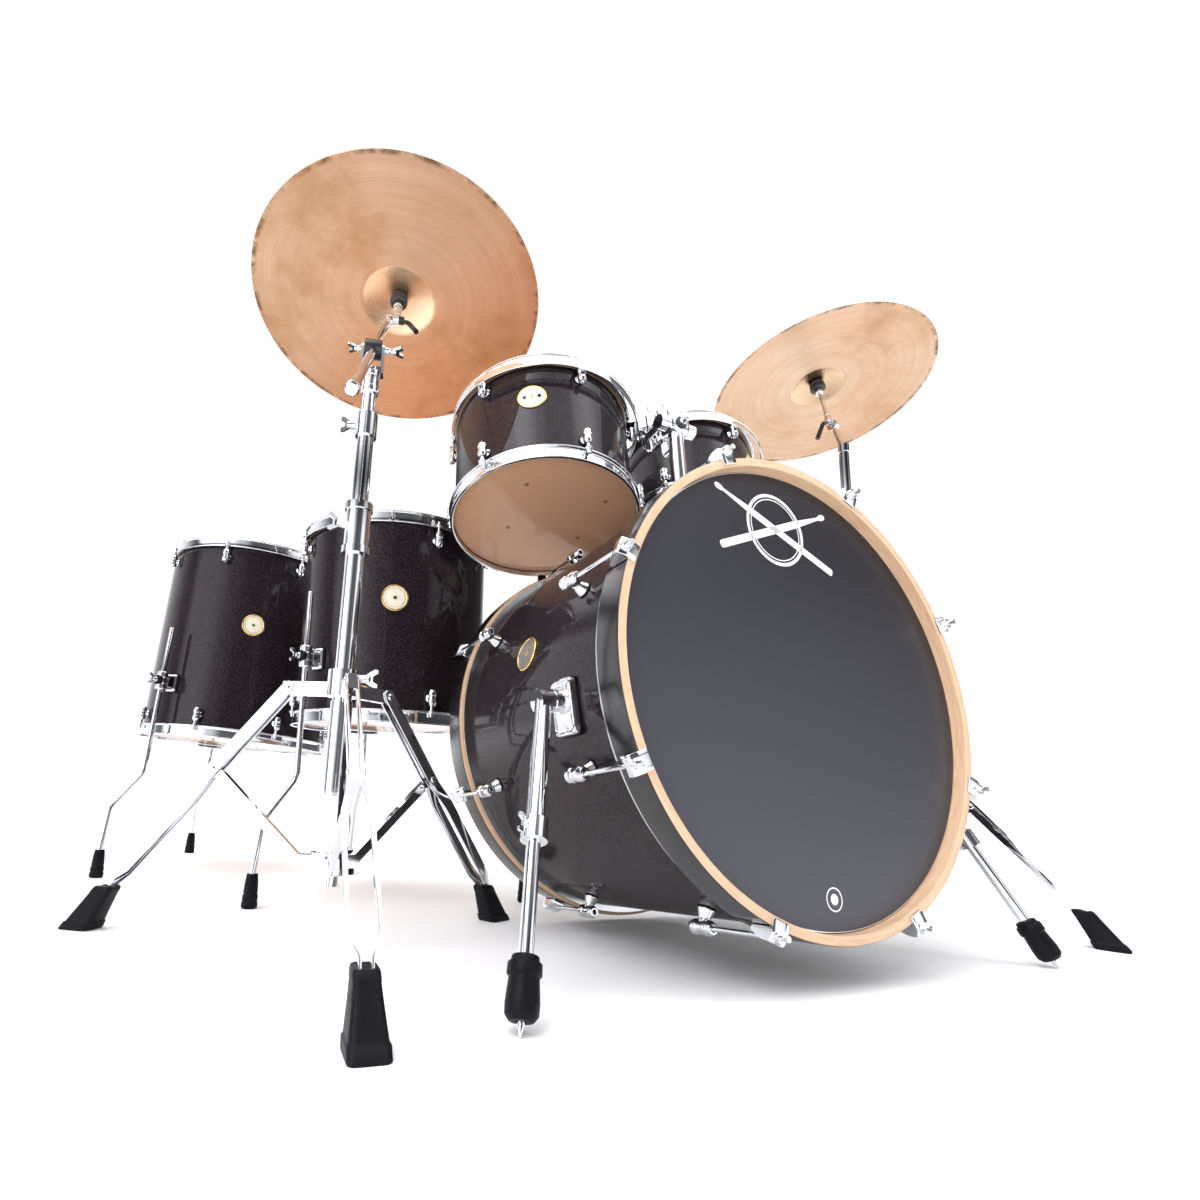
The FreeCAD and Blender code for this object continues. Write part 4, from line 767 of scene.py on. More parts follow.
def rubber_boot(place):
    """A moulded boot that narrows from a ribbed sole to a sleeve round the bars."""
    rows = []
    stations = ((0.0, 33, 0.93), (0.03, 34, 1.0), (0.17, 33.6, 1.0), (0.20, 31, 0.93),
                (0.24, 30.4, 0.93), (0.60, 25.5, 0.95), (0.84, 22.6, 0.97), (0.87, 23.2, 1.0),
                (0.96, 22.4, 1.0), (1.0, 20.4, 0.93))
    for level, width, share in stations:
        low, high = (FOOT_RADIUS + sole * (1 - level) + top * level for sole, top in zip(BOOT_SOLE, BOOT_TOP))
        spot = place @ shift((low + high) / 2, 0, BOOT_HEIGHT * level)
        rows.append([spot @ p.to_3d() for p in rounded_box((high - low) * share, width, 3 + 0.13 * width)])
    return Mesh().grid(rows, caps=True)


def add_stand_legs(chrome, rubber):
    """Each leg: its pair of flat bars in their moulded boot."""
    for side in ("left", "right"):
        hub, _ = joint(side + "_stand_fold")
        for letter in "abc":
            node, body = f"{side}_stand_leg_{letter}", f"{side}_leg_{letter}"
            pivot, tangent = joint(body + "_fold")
            out = tangent.cross(Z)
            slope = out * (FOOT_RADIUS - 8 - HUB_ARM) + Z * (22 - HUB_HEIGHT)
            bars = leg_bars(facing(pivot, slope.cross(tangent), slope), slope.length)
            bars.piece(node + "_bars", chrome, body, "chrome", [node], 30)
            boot = rubber_boot(facing((hub.x, hub.y, 0), Z, out))
            boot.piece(node + "_boot", rubber, body, "rubber", sharp=35)


def add_floor_legs(drums, chrome, rubber):
    """Double-bend leg rods with a rounded top and a ribbed rubber boot."""
    shape = [(0, 0), (10.5, 0), (12.5, 3), (12.4, 9), (11.2, 11), (12.0, 14), (11.6, 20), (10.4, 22),
             (11.0, 25), (10.0, 40), (8.4, LEG_BOOT), (0, LEG_BOOT)]
    brackets = middles("floor_tom_leg_brackets")
    for size in ("16", "14"):
        drum = drums["floor_tom_" + size]
        node, body = f"floor_tom_{size}_legs", f"floor_tom_{size}_leg_set"
        axis = drum.frame.to_3x3() @ Z
        rods, boots = Mesh(), Mesh()
        for middle in brackets:
            if not drum.holds(middle, drum.radius + 60 * MM):
                continue
            spot = drum.at(drum.azimuth(middle), drum.radius + LEG_OUT * MM, drum.local(middle).z)
            grip, out = spot.to_translation(), spot.to_3x3() @ Vector((1, 0, 0))
            level = Vector((out.x, out.y, 0)).normalized()
            top, knee, ankle = (grip + axis * ((height - grip.z) / axis.z)
                                for height in (grip.z + 118 * MM, KNEE, ANKLE))
            ankle += level * SPLAY
            lean = (level * TOE_OUT - Z * ankle.z).normalized()
            route = bent([top, knee, ankle, ankle + lean * ((ankle.z - 14 * MM) / -lean.z)], BEND)
            dome = [top, top - axis * 0.6 * MM, top - axis * 2.2 * MM]
            sizes = [2.6 * MM, 4.2 * MM] + [LEG_ROD * MM] * len(route)
            rods.sweep(dome + route[1:], sizes, 20)
            heel = ankle + lean * ((ankle.z - LEG_BOOT * MM) / -lean.z)
            boots.turned(shape, 1.5, Matrix.Translation((heel.x, heel.y, 0)), 28, closed=False)
        rods.piece(node + "_rods", chrome, body, "chrome", [node], 30)
        boots.piece(node + "_boots", rubber, body, "rubber", sharp=40)


def add_spur_feet(chrome, rubber):
    """Each spur's inner rod with its spike, and the rubber grip round it."""
    rod = profile([(0, 0), (0.7, 0), (3.2, 9), (3.2, 14), (7, 14), (7, 246), (0, 246)], 0.5, 2, closed=False)
    grip = [(4, 12), (10.5, 12, 2), (14.6, 17, 3), (15.0, 26, 3), (13.4, 46), (15.4, 48), (15.2, 57, 1.5),
            (12.6, 59), (12.0, 63), (8, 64), (4, 64)]
    for side in ("left", "right"):
        node, body = side + "_spur_foot", side + "_spur_rod"
        tip, down = joint(side + "_spur_length")
        place = facing(tip, -down)
        length = max((place.inverted() @ Vector(p)).z for solid in islands(node) for p in solid[0])
        cut = [Vector((p.x, min(p.y, length))) for p in rod]
        Mesh().lathe(cut, place, 28, closed=False).piece(node + "_rod", chrome, body, "chrome", [node], 40)
        Mesh().turned(grip, 1, place, 32).piece(node + "_rubber", rubber, body, "rubber", sharp=40)


# ---------------------------------------------------------------- clamps, tilters and brackets

BANDS = {"tom_12": (-158, 196), "tom_10": (-226, 196)}      # an isolation band's start and sweep, in degrees
BAND_IN, BAND_OUT, BAND_TOP, BAND_TALL = 20.6, 22.2, 14.6, 19
CLAMPS = ((BAND_OUT - 0.2, 37.2, 40, 32), (38.8, 52, 34, 30))      # near, far, tall and wide
ARM_LOCKS = {"tom_12": -44, "tom_10": -58}
TILTER_SIDE = 10.8
CHEEK_IN, CHEEK_OUT = 12.6, 16.4


def wing_bolt(mesh, place, radius, length):
    """A wing bolt along Z: a stepped collar with two rounded ears."""
    narrow, top = radius * 0.82, length + radius
    collar = [(0, 0), (radius, 0), (radius, length * 0.30, 0.8), (narrow, length * 0.36, 0.5),
              (narrow, length * 0.74, 1.2), (0, length * 0.78)]
    mesh.turned(collar, 0.5, place, 28, closed=False)
    for side in (1, -1):
        ear = [(-radius * 0.3, length * 0.5), (radius * 0.8, length * 0.5), (radius * 2.2, top - 4),
               (radius * 2.1, top), (radius * 1.3, top), (radius * 0.5, length * 0.92),
               (-radius * 0.3, length * 0.92)]
        outline = profile([(x * side, y) for x, y in ear], 2.2, 4)
        mesh.stack(outline, ((-1.7, 1), (1.7, 1)), place @ Z_TO_MINUS_Y)


def add_tom_mount(drum, chrome, rubber):
    """The isolation band on the upper rods, its rubber grommets, and the two-part clamp for the arm."""
    point, _ = joint(drum.name + "_height")
    metal, soft = Mesh(), Mesh()
    start, sweep = (math.radians(angle) for angle in BANDS[drum.name])
    shell, top = drum.radius / MM, drum.half / MM - BAND_TOP
    low, near, far = top - BAND_TALL, shell + BAND_IN, shell + BAND_OUT
    lip = far + 1.0
    band = profile([(near, low), (lip, low), (lip, low + 2.4), (far, low + 3.4), (far, top - 3.4),
                    (lip, top - 2.4), (lip, top), (near, top)], 0.5)
    metal.lathe(band, drum.frame, 90, start=start, sweep=sweep)
    tab = profile([(ROD_OUT - 7, -8), (BAND_OUT, -11), (BAND_OUT, 11), (ROD_OUT - 7, 8)], 3, 4)
    grommet = [(ROD_HOLE, -4), (6.8, -4), (6.8, -0.4), (5.0, 0.2), (5.0, 1.8), (6.8, 2.2), (6.8, 4.6),
               (ROD_HOLE, 4.6)]
    for azimuth, height in drum.lugs:
        if height < 0 or not 0.07 < (azimuth - start) % (2 * math.pi) < sweep - 0.07:
            continue
        metal.stack(tab, ((top - 0.2, 1), (top + 2, 1)), drum.at(azimuth, drum.radius))
        soft.turned(grommet, 0.7, drum.at(azimuth) @ shift(shell + ROD_OUT, 0, top), 24)
    clamp = drum.at(drum.azimuth(point), drum.radius, drum.local(point).z)
    for near, far, tall, wide in CLAMPS:
        levels = ((near, 0.94), (near + 1.2, 1.0), (far - 2.5, 1.0), (far - 0.8, 0.95), (far, 0.86))
        metal.stack(rounded_box(wide, tall, 5, 5), levels, clamp @ ON_WALL)
    soft.stack(rounded_box(27, 31, 4), ((37.0, 1), (39.0, 1)), clamp @ ON_WALL)
    wing_bolt(metal, clamp @ shift(51) @ Z_TO_X, 5.5, 19)
    for lift in (11, -11):
        metal.rod(3.4, 0, 3.2, 0.8, clamp @ shift(50.6, 0, lift) @ Z_TO_X, 6)
    node = drum.name + "_mount"
    metal.piece(node + "_metal", chrome, drum.name, "chrome", [node], 35)
    soft.piece(node + "_grommets", rubber, drum.name, "rubber", sharp=35)


def add_tom_post(chrome, plastic):
    """The post with its lock ring, cast head and wing bolt, and the lock collars of both arms."""
    foot, up = joint("tom_post_height")
    pivot, sideways = joint("tom_12_tilt")
    place = facing(foot, up, sideways)
    head = (pivot - foot).dot(up) / MM
    metal, black = Mesh(), Mesh()
    metal.rod(12.7, 14, head - 8, 0.5, place, 40)
    ring = [(12.5, 76.6), (16.6, 76.6), (17.6, 78.4), (17.6, 90.4), (16.6, 92.2), (12.5, 92.2)]
    metal.turned(ring, 0.8, place, 40)
    metal.rod(3.6, 15, 24, 0.8, place @ shift(0, 0, 84) @ Z_TO_MINUS_Y, 4)
    levels = ((-15, 0.80), (-13.4, 0.92), (-10, 1.0), (10, 1.0), (13.4, 0.92), (15, 0.80))
    metal.stack(rounded_box(40, 30, 6, 5), levels, place @ shift(0, 0, head))
    front = place @ shift(0, 0, head) @ Z_TO_MINUS_Y
    black.rod(11, 14, 17, 1, front, 32)
    wing_bolt(metal, front @ shift(0, 0, 16.4), 6, 18)
    metal.piece("tom_post_metal", chrome, "tom_post_slider", "chrome_tube", ["tom_post"], 35)
    black.piece("tom_post_washer", plastic, "tom_post_slider", "chrome_tube", sharp=35)
    collar = [(6.4, 0), (11.4, 0), (12.2, 1.4), (12.2, 10.6), (11.4, 12), (6.4, 12)]
    for name, low in ARM_LOCKS.items():
        lock = Mesh()
        grip, along = joint(name + "_height")
        place = facing(grip, along, sideways) @ shift(0, 0, low)
        lock.turned(collar, 0.8, place, 32)
        lock.rod(3.4, 11, 20, 0.8, place @ shift(0, 0, 6) @ Z_TO_MINUS_Y, 4)
        lock.piece(name + "_arm_lock", chrome, name + "_arm_body", "chrome_tube", sharp=35)


def add_tilter(name, chrome, plastic):
    """The ratchet tilter with its black lever and the rod that carries the cymbal."""
    node, body = name + "_tilter", name + "_tilter_body"
    pivot, side = joint(name + "_tilt")
    hole, axis = joint(name + "_spin")
    disc, up = facing(pivot, side), facing(pivot, axis)
    metal, black = Mesh(), Mesh()
    metal.turned(mirrored([(0, -5), (10, -5), (10, -1.6), (8.8, -1.2)]), 0.7, disc, 36, closed=False)
    stem = [(0, 8.5), (7.6, 8.5), (7.6, 15), (6.5, 16), (6.5, 23), (7.2, 24), (7.2, 29), (4.2, 30), (0, 30)]
    metal.turned(stem, 0.6, up, 32, closed=False)
    metal.rod(4, 0, (hole - pivot).dot(axis) / MM + 50, 1.2, up, 24)
    black.rod(7, 5.3, 14.3, 1.2, disc, 28)
    start = pivot + side * 10 * MM
    elbow = start + (side * 0.8 - axis * 0.25).normalized() * 13 * MM
    reach = (side * 0.55 - axis * 0.8 - axis.cross(side) * 0.25).normalized()
    route = bent([start, elbow, start + reach * 52 * MM], 12 * MM)
    sizes = [(3.6 + i / (len(route) - 1)) * MM for i in range(len(route))]
    black.sweep(route, sizes, 14)
    metal.piece(node + "_metal", chrome, body, "chrome", [node], 35)
    black.piece(node + "_lever", plastic, body, "chrome", sharp=45)


def add_cymbal_seat(name, chrome, plastic, felt):
    """The black seat under a cymbal with its collar, and the felt washer and wing nut above it."""
    body = name + "_tilter_body"
    pivot, _ = joint(name + "_tilt")
    hole, axis = joint(name + "_spin")
    up = facing(pivot, axis) @ shift(0, 0, (hole - pivot).dot(axis) / MM - 1.7)
    seat = [(4.1, -25), (11.5, -25), (15.8, -21, 3), (16.4, -15, 3), (13.4, -11.5, 1.5), (15.6, -8, 2),
            (13.4, -2.4), (7.4, 0), (5.2, 0), (5.2, 4.7), (4.1, 4.7)]
    Mesh().turned(seat, 0.8, up, 40).piece(name + "_seat", plastic, body, "felt", [name + "_felts"], 40)
    collar = [(4.1, -34), (7.4, -34), (8.2, -32), (8.2, -26), (4.1, -25.2)]
    Mesh().turned(collar, 0.6, up, 32).piece(name + "_seat_collar", chrome, body, "chrome", sharp=35)
    washer = [(4.1, 3.1), (5.3, 3.1), (16.5, 3.6), (17.5, 6.5), (17.2, 10), (14.5, 12), (4.1, 12)]
    above = facing(hole, axis)
    Mesh().turned(washer, 2.2, above, 40, 4).piece(name + "_felt_washer", felt, body, "felt", sharp=60)
    nut = Mesh()
    wing_bolt(nut, above @ shift(0, 0, 12.1), 7, 13)
    nut.piece(name + "_wing_nut", chrome, body, "chrome", sharp=35)


def boom_ends():
    """The boom's pivot, its hinge axis, and the knuckle beside the ride's tilter."""
    pivot, hinge = joint("left_boom_tilt")
    target, _ = joint("ride_tilt")
    return pivot, hinge, target + hinge * TILTER_SIDE * MM


def add_boom(chrome, plastic):
    """The boom with its weight, its knuckle and its ratchet."""
    pivot, hinge, knuckle = boom_ends()
    boom, turning = facing(pivot, knuckle - pivot, hinge), facing(pivot, hinge)
    metal, black = Mesh(), Mesh()
    metal.rod(6.35, -235, (knuckle - pivot).length / MM - 10.4, 0.8, boom, 28)
    weight = [(0, -241), (6.6, -241), (8.5, -239), (8.5, -235), (7.7, -234.4), (7.7, -233), (8.5, -232.4),
              (8.5, -221), (7.4, -217), (6.3, -217)]
    metal.turned(weight, 0.5, boom, 32, closed=False)
    metal.rod(11, -5.5, 5.5, 1.5, facing(knuckle, hinge), 32)
    metal.rod(4, -CHEEK_OUT, CHEEK_OUT, 0.5, turning, 20)
    black.rod(14, -12.1, 12.1, 1.6, turning, 36)
    metal.piece("left_boom_metal", chrome, "left_boom", "chrome_tube", ["left_boom_arm"], 35)
    black.piece("left_boom_ratchet", plastic, "left_boom", "chrome_tube", sharp=35)


def add_fork(chrome):
    """The upper tube of the left stand and the fork on it, with a wing bolt on each cheek."""
    pivot, hinge, knuckle = boom_ends()
    place = facing(pivot, Z, Vector((knuckle.x - pivot.x, knuckle.y - pivot.y, 0)))
    low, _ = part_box("left_upper_tube")
    foot = (low.z - pivot.z) / MM
    fork = Mesh()
    fork.turned([(7.9, foot), (9.5, foot), (9.5, -38), (7.9, -38)], 0.4, place, 32, 2)
    throat = [(0, -72), (11.5, -72), (12.5, -70), (12.5, -62), (11.6, -61), (11.6, -46), (12.5, -45),
              (12.5, -38), (9, -34), (0, -34)]
    fork.turned(throat, 0.8, place, 32, closed=False)
    fork.stack(rounded_box(16, 2 * CHEEK_OUT, 3), ((-40, 1), (-31, 1)), place)
    turns = [math.pi * i / 12 for i in range(13)]
    points = [(-8, -38), (8, -38)] + [(8 * math.cos(turn), 8 * math.sin(turn)) for turn in turns]
    cheek = [Vector(point) * MM for point in points]
    for near, far in ((CHEEK_IN, CHEEK_OUT), (-CHEEK_OUT, -CHEEK_IN)):
        fork.stack(cheek, ((near, 1), (far, 1)), place @ Z_TO_MINUS_Y)
    sign = 1 if (place.to_3x3() @ Vector((0, 1, 0))).dot(hinge) > 0 else -1
    for side, sunk, radius, length in ((-sign, 0.5, 5, 22), (sign, 0.4, 4.4, 15)):
        outwards = Matrix.Rotation(-side * math.pi / 2, 4, "X")
        wing_bolt(fork, place @ shift(0, side * (CHEEK_OUT - sunk)) @ outwards, radius, length)
    fork.piece("left_upper_fork", chrome, "left_upper", "chrome_tube", ["left_upper_tube"], 35)


def add_spur_brackets(drum, chrome, rubber):
    """A rounded cast plate with a raised rim on a rubber gasket, and the boss that carries the spur."""
    metal, gasket = Mesh(), Mesh()
    outline = rounded_box(68, 42, 9, 6)
    boss = [(0, 6), (16, 6), (15.6, 9), (13.4, 11.5), (13.0, 22), (12.4, 24.4), (0, 24.4)]
    for middle in middles("spur_brackets"):
        pivot, _ = joint(("left" if middle.x < 0 else "right") + "_spur_fold")
        spot = drum.at(drum.azimuth(pivot), drum.radius, drum.local(pivot).z)
        plate = spot @ ON_WALL @ Matrix.Translation(((spot.inverted() @ middle).y, 0, 0))
        gasket.stack(outline, ((-3.0, 1.0), (1.0, 1.02), (2.0, 1.02), (2.4, 1.0)), plate)
        metal.stack(outline, ((1.8, 0.95), (2.6, 0.985), (7.5, 0.985), (9.6, 0.95), (10.2, 0.90), (9.8, 0.86),
                              (8.4, 0.82), (8.2, 0.78)), plate)
        metal.turned(boss, 1, spot @ Z_TO_X, 36, closed=False)
        for across in (-25, 25):
            metal.rod(4.2, 7.8, 10.6, 1.1, plate @ shift(across), 24)
    metal.piece("spur_brackets_cast", chrome, "kit", "chrome", ["spur_brackets"], 32)
    gasket.piece("spur_bracket_gaskets", rubber, "kit", "rubber", sharp=40)


def add_floor_brackets(drums, chrome, rubber):
    """Each leg clamp of the floor toms: a cast barrel on a gasketed foot, a black ring and a wing bolt."""
    metal, black = Mesh(), Mesh()
    barrel = mirrored([(5.1, -19), (10.6, -19), (11.4, -17), (11.4, -7), (10.2, -5.5)])
    floor_toms = {name: drum for name, drum in drums.items() if name != "bass"}
    for middle in middles("floor_tom_leg_brackets"):
        drum = drum_with(floor_toms, "kit", middle, 60)
        spot = drum.at(drum.azimuth(middle), drum.radius, drum.local(middle).z)
        black.stack(rounded_box(30, 40, 4), ((-1.4, 1.0), (0.6, 1.02), (1.8, 1.0)), spot @ ON_WALL)
        foot = ((1.0, 0.99), (5.0, 0.97), (7.5, 0.80), (20.0, 0.66))
        metal.stack(rounded_box(28, 38, 4), foot, spot @ ON_WALL)
        metal.turned(barrel, 0.7, spot @ shift(LEG_OUT), 32)
        black.rod(10.5, 34, 41, 1.6, spot @ Z_TO_X, 32)
        wing_bolt(metal, spot @ Z_TO_X @ shift(0, 0, 40.5), 5.2, 16)
    metal.piece("floor_bracket_castings", chrome, "kit", "chrome", ["floor_tom_leg_brackets"], 32)
    black.piece("floor_bracket_gaskets", rubber, "kit", "rubber", sharp=40)


# ---------------------------------------------------------------- badges and marks

BADGE_FACE = [(2.6, 0.1), (21.2, 0.1), (21.2, 1.75), (2.6, 1.75)]
BADGE_GOLD = {
    "rim": ([(20.6, 0.1), (23.9, 0.1), (23.9, 1.6), (22.8, 2.4), (21.2, 2.4), (20.6, 1.9)], 0.3, 3),
    "eyelet": ([(1.8, 0.1), (3.8, 0.1), (3.8, 2.2), (1.8, 2.2)], 0.5, 3),
    "line": ([(17.2, 1.6), (18.0, 1.6), (18.0, 2.0), (17.2, 2.0)], 0.15, 2)}


def wrapped(drum, middle, section, steps=56):
    """Turns a section of (radius, lift) about a badge's middle and bends it round the shell."""
    azimuth, height = drum.azimuth(middle), drum.local(middle).z
    turns = [2 * math.pi * step / steps for step in range(steps)]
    rows = [[drum.at(azimuth + radius * math.cos(turn) / drum.radius, drum.radius + lift,
                     height + radius * math.sin(turn)).to_translation() for turn in turns]
            for radius, lift in section]
    return Mesh().grid(rows, wrap_rows=True)


def add_badges(drums, enamel, shaded_enamel, gold):
    """Plain round vent badges: a disc in a gold rim round its vent. The bass drum's disc is a darker copy of the
    cream enamel, a painted shade.
    """
    badges = [(middle, "kit") for middle in middles("shell_badges")]
    for name in RACK_TOMS:
        smallest = min(islands(name + "_shell"), key=lambda solid: np.ptp(solid[0], axis=0).max())
        badges.append((middle_of(smallest), name))
    for number, (middle, body) in enumerate(badges):
        drum = drum_with(drums, body, middle, 12)
        disc = wrapped(drum, middle, profile(BADGE_FACE, 0))
        # The bass drum's badge gets the darker enamel copy, a painted shade.
        tone = shaded_enamel if drum.name == "bass" else enamel
        replaced = ["shell_badges"] if number == 0 else ()
        disc.piece(f"badge_{number}_enamel", tone, body, "badge_enamel", replaced)
        for label, section in BADGE_GOLD.items():
            ring = wrapped(drum, middle, profile(*section))
            ring.piece(f"badge_{number}_{label}", gold, body, "badge_enamel")


def add_head_marks(drum, ink):
    """Two plain marks printed on the front head: crossed drumsticks in a ring, and a small dot in a ring."""
    mesh = Mesh()
    surface = drum.half + 0.64 * MM

    def ring(centre, radius, width, segments):
        turns = [2 * math.pi * k / segments for k in range(segments)]
        mesh.grid([[centre @ Vector((size * math.cos(a), size * math.sin(a), 0)) for a in turns]
                   for size in ((radius - width) * MM, radius * MM)])

    def stick(centre, angle, length):
        """A drumstick's outline: butt, tapering shaft, thin neck and an acorn tip."""
        stations = ((-0.5, 0.0), (-0.495, 0.020), (-0.48, 0.024), (0.18, 0.024), (0.40, 0.011), (0.43, 0.011),
                    (0.45, 0.019), (0.475, 0.021), (0.495, 0.012), (0.5, 0.0))
        place = centre @ Matrix.Rotation(angle, 4, "Z")
        mesh.grid([[place @ Vector((along * length, side * length, 0)) for side in (-half, half)]
                   for along, half in stations], wrap_columns=False)

    middle = drum.frame @ Matrix.Translation((-22 * MM, 0.70 * drum.head_radius, surface))
    ring(middle, 50, 4.5, 72)
    ring(middle, 43, 1.5, 72)
    for angle in (0.40, math.pi - 0.40):
        stick(middle, angle, 215 * MM)
    low = drum.frame @ Matrix.Translation((-3 * MM, -0.855 * drum.head_radius, surface))
    ring(low, 13, 1.6, 40)
    ring(low, 6, 5.9, 32)
    mesh.piece("head_marks", ink, "kit", "badge_enamel")


# ---------------------------------------------------------------- the CAD nodes that stay

SCREWS = ((-0.45, -0.42), (0.45, -0.55), (0.52, 0.12), (-0.30, 0.30))       # as shares of the radius


def finish_nodes(drums, chrome, felt):
    """Gives every CAD node that stays visible its finish, by its slot."""
    clear = film_finish("clear_film", (0.64, 0.38, 0.23), 0.80)
    tom = drums["tom_12"]
    screws = [(x * tom.radius, y * tom.radius) for x, y in SCREWS]
    plain = {"chrome_tube": chrome_finish("tube_chrome", 0.09), "felt": felt,
             "clear_film": clear, "dark_film": dark_head_finish(drums["bass"])}
    shells = {name + "_shell": drum for name, drum in drums.items()}
    for part in frame["record"]["subparts"]:
        node = part["node"]
        data = frame["nodes"][node].data
        if node in shells:
            finish = lacquer_finish(shells[node], shells[node].radius - SHELL_WALL * MM)
        elif node == "tom_12_heads":
            finish = film_finish("tom_12_film", (0.60, 0.34, 0.205), 0.84, tom.frame, screws)
        else:
            finish = plain.get(part["material_slot"], chrome)
        data.materials.clear()
        data.materials.append(finish)


# ---------------------------------------------------------------- stage

FLOOR_SIZE = 16.0
HEIGHT_LEVELS = ((0.0, 0.9), (0.10, 1.0), (0.36, 0.8), (0.44, 0.12), (0.54, 1.0), (0.80, 1.7), (1.0, 1.2))
STRIP_LEVELS = (
    (0.0, 0.05), (0.06, 0.06), (0.10, 0.8), (0.18, 3.4), (0.25, 3.0), (0.29, 0.08), (0.39, 1.5),
    (0.46, 1.9), (0.52, 0.08), (0.60, 1.3), (0.66, 0.04), (0.80, 0.04), (0.87, 1.7), (0.91, 1.5),
    (0.95, 0.08), (1.0, 0.10))
LAMPS = (("key", (-2.4, -3.2, 2.8), 3.0, 34.0), ("fill", (3.4, -2.4, 2.4), 2.6, 22.0),
         ("top", (0.0, -0.5, 4.3), 5.5, 128.0), ("rim", (-1.8, 3.6, 2.6), 2.4, 26.0))
CAMERA_FROM_HOOP = Vector((-0.6875, -0.5026, 0.1915))    # from the bass hoop's front foot, on the floor
YAW, PITCH, ROLL = 0.4430, 0.1997, 0.0462
LENS, SHIFT = 19.80, (0.0929, 0.0501)


def studio_level(tree, coordinate, stops):
    """A brightness ramp over one coordinate of the surround."""
    band = tree.nodes.new("ShaderNodeValToRGB")
    band.color_ramp.interpolation = "EASE"
    set_levels(band.color_ramp, [(where, (level, level, level * 1.02)) for where, level in stops])
    tree.links.new(coordinate, band.inputs[0])
    return band.outputs[0]


def make_world():
    """A white backdrop for the camera; soft boxes and dark flags for the metal and lacquer to show."""
    world = bpy.data.worlds.new("studio")
    bpy.context.scene.world = world
    world.use_nodes = True
    tree = world.node_tree
    coords, split, turn, share, product, backdrop, path, mixer = (
        tree.nodes.new("ShaderNode" + kind) for kind in
        ("TexCoord", "SeparateXYZ", "Math", "Math", "Mix", "Background", "LightPath", "MixShader"))
    surround = tree.nodes["Background"]
    turn.operation, share.operation = "ARCTAN2", "MULTIPLY_ADD"
    share.inputs[1].default_value, share.inputs[2].default_value = 0.5 / math.pi, 0.5
    product.data_type, product.blend_type = "RGBA", "MULTIPLY"
    product.inputs["Factor"].default_value = 0.9
    surround.inputs["Strength"].default_value = 1.0
    backdrop.inputs["Color"].default_value, backdrop.inputs["Strength"].default_value = (1, 1, 1, 1), 1.05
    links = (
        (coords.outputs["Generated"], split.inputs[0]), (split.outputs["X"], turn.inputs[0]),
        (split.outputs["Y"], turn.inputs[1]), (turn.outputs[0], share.inputs[0]),
        (studio_level(tree, split.outputs["Z"], HEIGHT_LEVELS), product.inputs[6]),
        (studio_level(tree, share.outputs[0], STRIP_LEVELS), product.inputs[7]),
        (product.outputs[2], surround.inputs["Color"]), (path.outputs["Is Camera Ray"], mixer.inputs[0]),
        (surround.outputs[0], mixer.inputs[1]), (backdrop.outputs[0], mixer.inputs[2]),
        (mixer.outputs[0], tree.nodes["World Output"].inputs[0]))
    for source, target in links:
        tree.links.new(source, target)


def floor_finish():
    made = Shader("floor_paint", Specular_IOR_Level=0.0, Emission_Color=(1, 1, 1, 1))
    cloud = made.noise(made.place(), 0.8, 2.0)
    made.mottled(cloud, (0.93, 0.93, 0.93), (0.95, 0.95, 0.95), ((0.3, 0.90), (0.7, 0.96)))
    far = made.math("DIVIDE", made.radius(made.place()), 4.0)
    made.into("Emission Strength", made.ramp(far, (0.30, 0.03), (0.85, 0.75)))
    return made.material


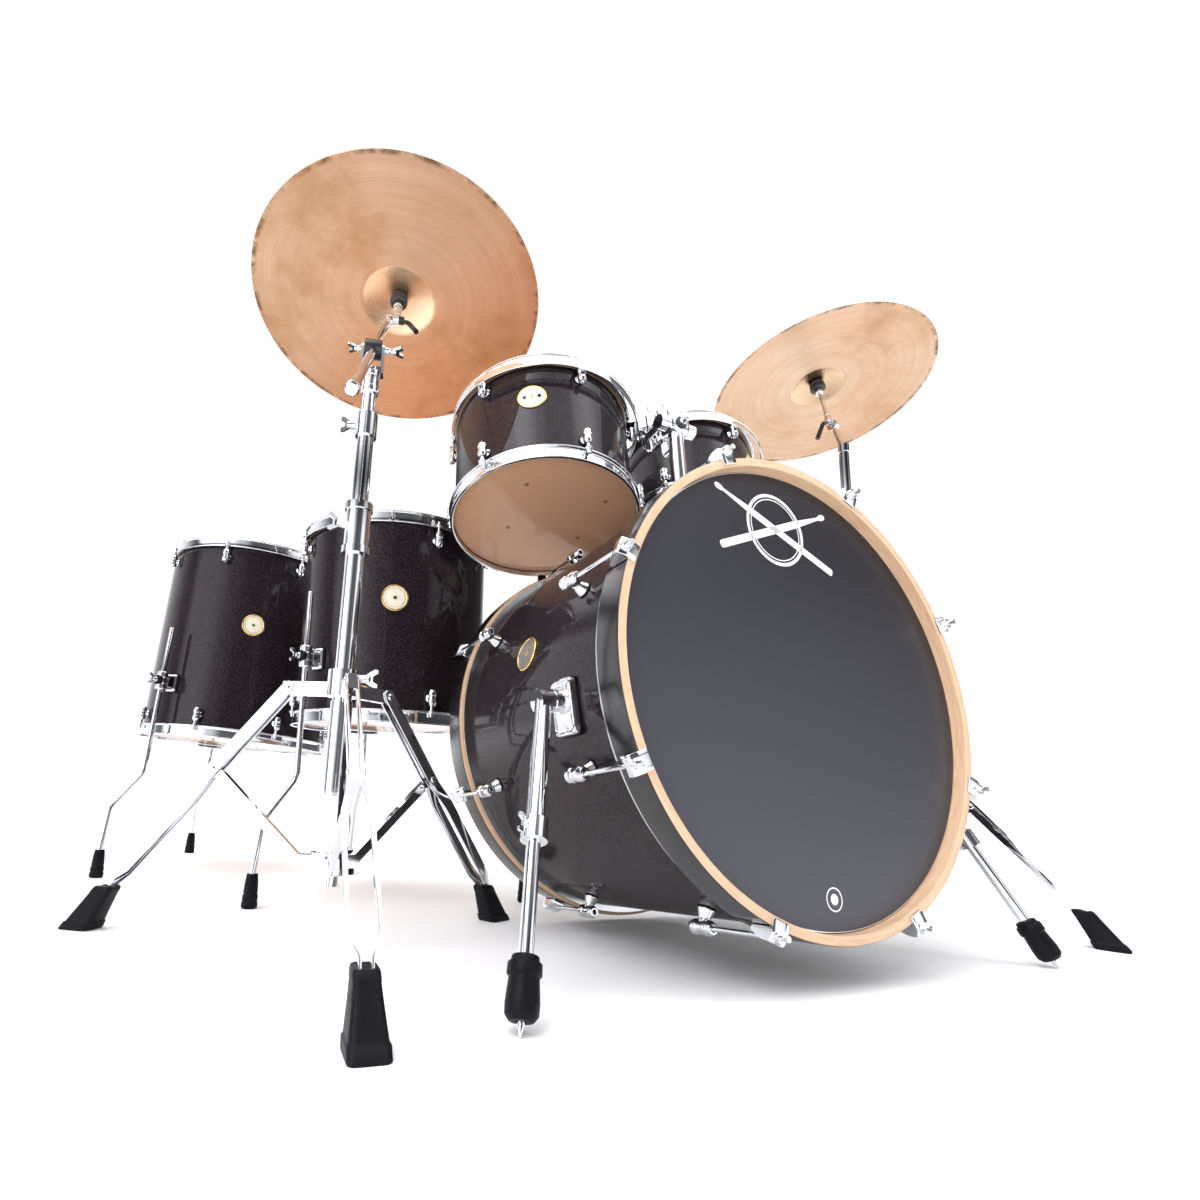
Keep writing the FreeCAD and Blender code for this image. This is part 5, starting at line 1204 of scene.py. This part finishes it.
def make_stage():
    data = bpy.data.meshes.new("floor")
    corners = [(x * FLOOR_SIZE, y * FLOOR_SIZE, 0) for x, y in ((-1, -1), (1, -1), (1, 1), (-1, 1))]
    data.from_pydata(corners, [], [(0, 1, 2, 3)])
    data.materials.append(floor_finish())
    ground = bpy.data.objects.new("floor", data)
    bpy.context.scene.collection.objects.link(ground)
    ground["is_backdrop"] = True

    lo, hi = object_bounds()
    middle = (lo + hi) / 2
    for name, offset, width, power in LAMPS:
        light = bpy.data.lights.new(name, "AREA")
        light.shape, light.size, light.energy = "SQUARE", width, power
        lamp = bpy.data.objects.new(name, light)
        lamp.visible_glossy = name == "top"
        spot = Vector((middle.x, middle.y, 0)) + Vector(offset)
        lamp.matrix_world = facing(spot, spot - middle)
        bpy.context.scene.collection.objects.link(lamp)
    make_world()
    bpy.context.scene.view_settings.view_transform = "Standard"


def make_camera():
    low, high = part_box("bass_hoops")
    data = bpy.data.cameras.new("view")
    data.sensor_width, data.lens = 36.0, LENS
    data.shift_x, data.shift_y = SHIFT
    camera = bpy.data.objects.new("view", data)
    ahead = Vector((math.sin(YAW) * math.cos(PITCH), math.cos(YAW) * math.cos(PITCH), math.sin(PITCH)))
    level = Vector((math.cos(YAW), -math.sin(YAW), 0))
    right = level * math.cos(ROLL) + level.cross(ahead) * math.sin(ROLL)
    spot = Vector(((low.x + high.x) / 2, low.y, 0)) + CAMERA_FROM_HOOP
    camera.matrix_world = facing(spot, -ahead, right)
    bpy.context.scene.collection.objects.link(camera)
    bpy.context.scene.camera = camera


# ---------------------------------------------------------------- build

drums = make_drums()
bass = drums["bass"]
chrome = chrome_finish("chrome", 0.08)
rubber, felt = rubber_finish(), felt_finish()
finish_nodes(drums, chrome, felt)
add_lugs(drums, chrome, rubber)
add_tom_hoops(drums, chrome)
add_bass_hoops(bass, bass_hoop_finish(bass, bass.radius + HOOP_OUT * MM))
add_bass_claws(bass, chrome)
add_cymbal("ride", **RIDE)
add_cymbal("crash", **CRASH)
add_stand_legs(chrome, rubber)
add_floor_legs(drums, chrome, rubber)
add_spur_feet(chrome, rubber)
cream = enamel_finish("badge_enamel", (0.76, 0.70, 0.56), (0.84, 0.79, 0.66))
# A darker copy of the cream enamel: a painted shade for the bass drum's badge.
shaded_cream = enamel_finish("badge_smoked", (0.12, 0.11, 0.11), (0.20, 0.18, 0.18))
add_badges(drums, cream, shaded_cream, gold_finish())
add_head_marks(bass, print_finish())
plastic = plastic_finish()
for cymbal in ("ride", "crash"):
    add_tilter(cymbal, chrome, plastic)
    add_cymbal_seat(cymbal, chrome, plastic, felt)
add_boom(chrome, plastic)
add_fork(chrome)
for tom in RACK_TOMS:
    add_tom_mount(drums[tom], chrome, rubber)
add_tom_post(chrome, plastic)
add_spur_brackets(bass, chrome, rubber)
add_floor_brackets(drums, chrome, rubber)
make_stage()
make_camera()
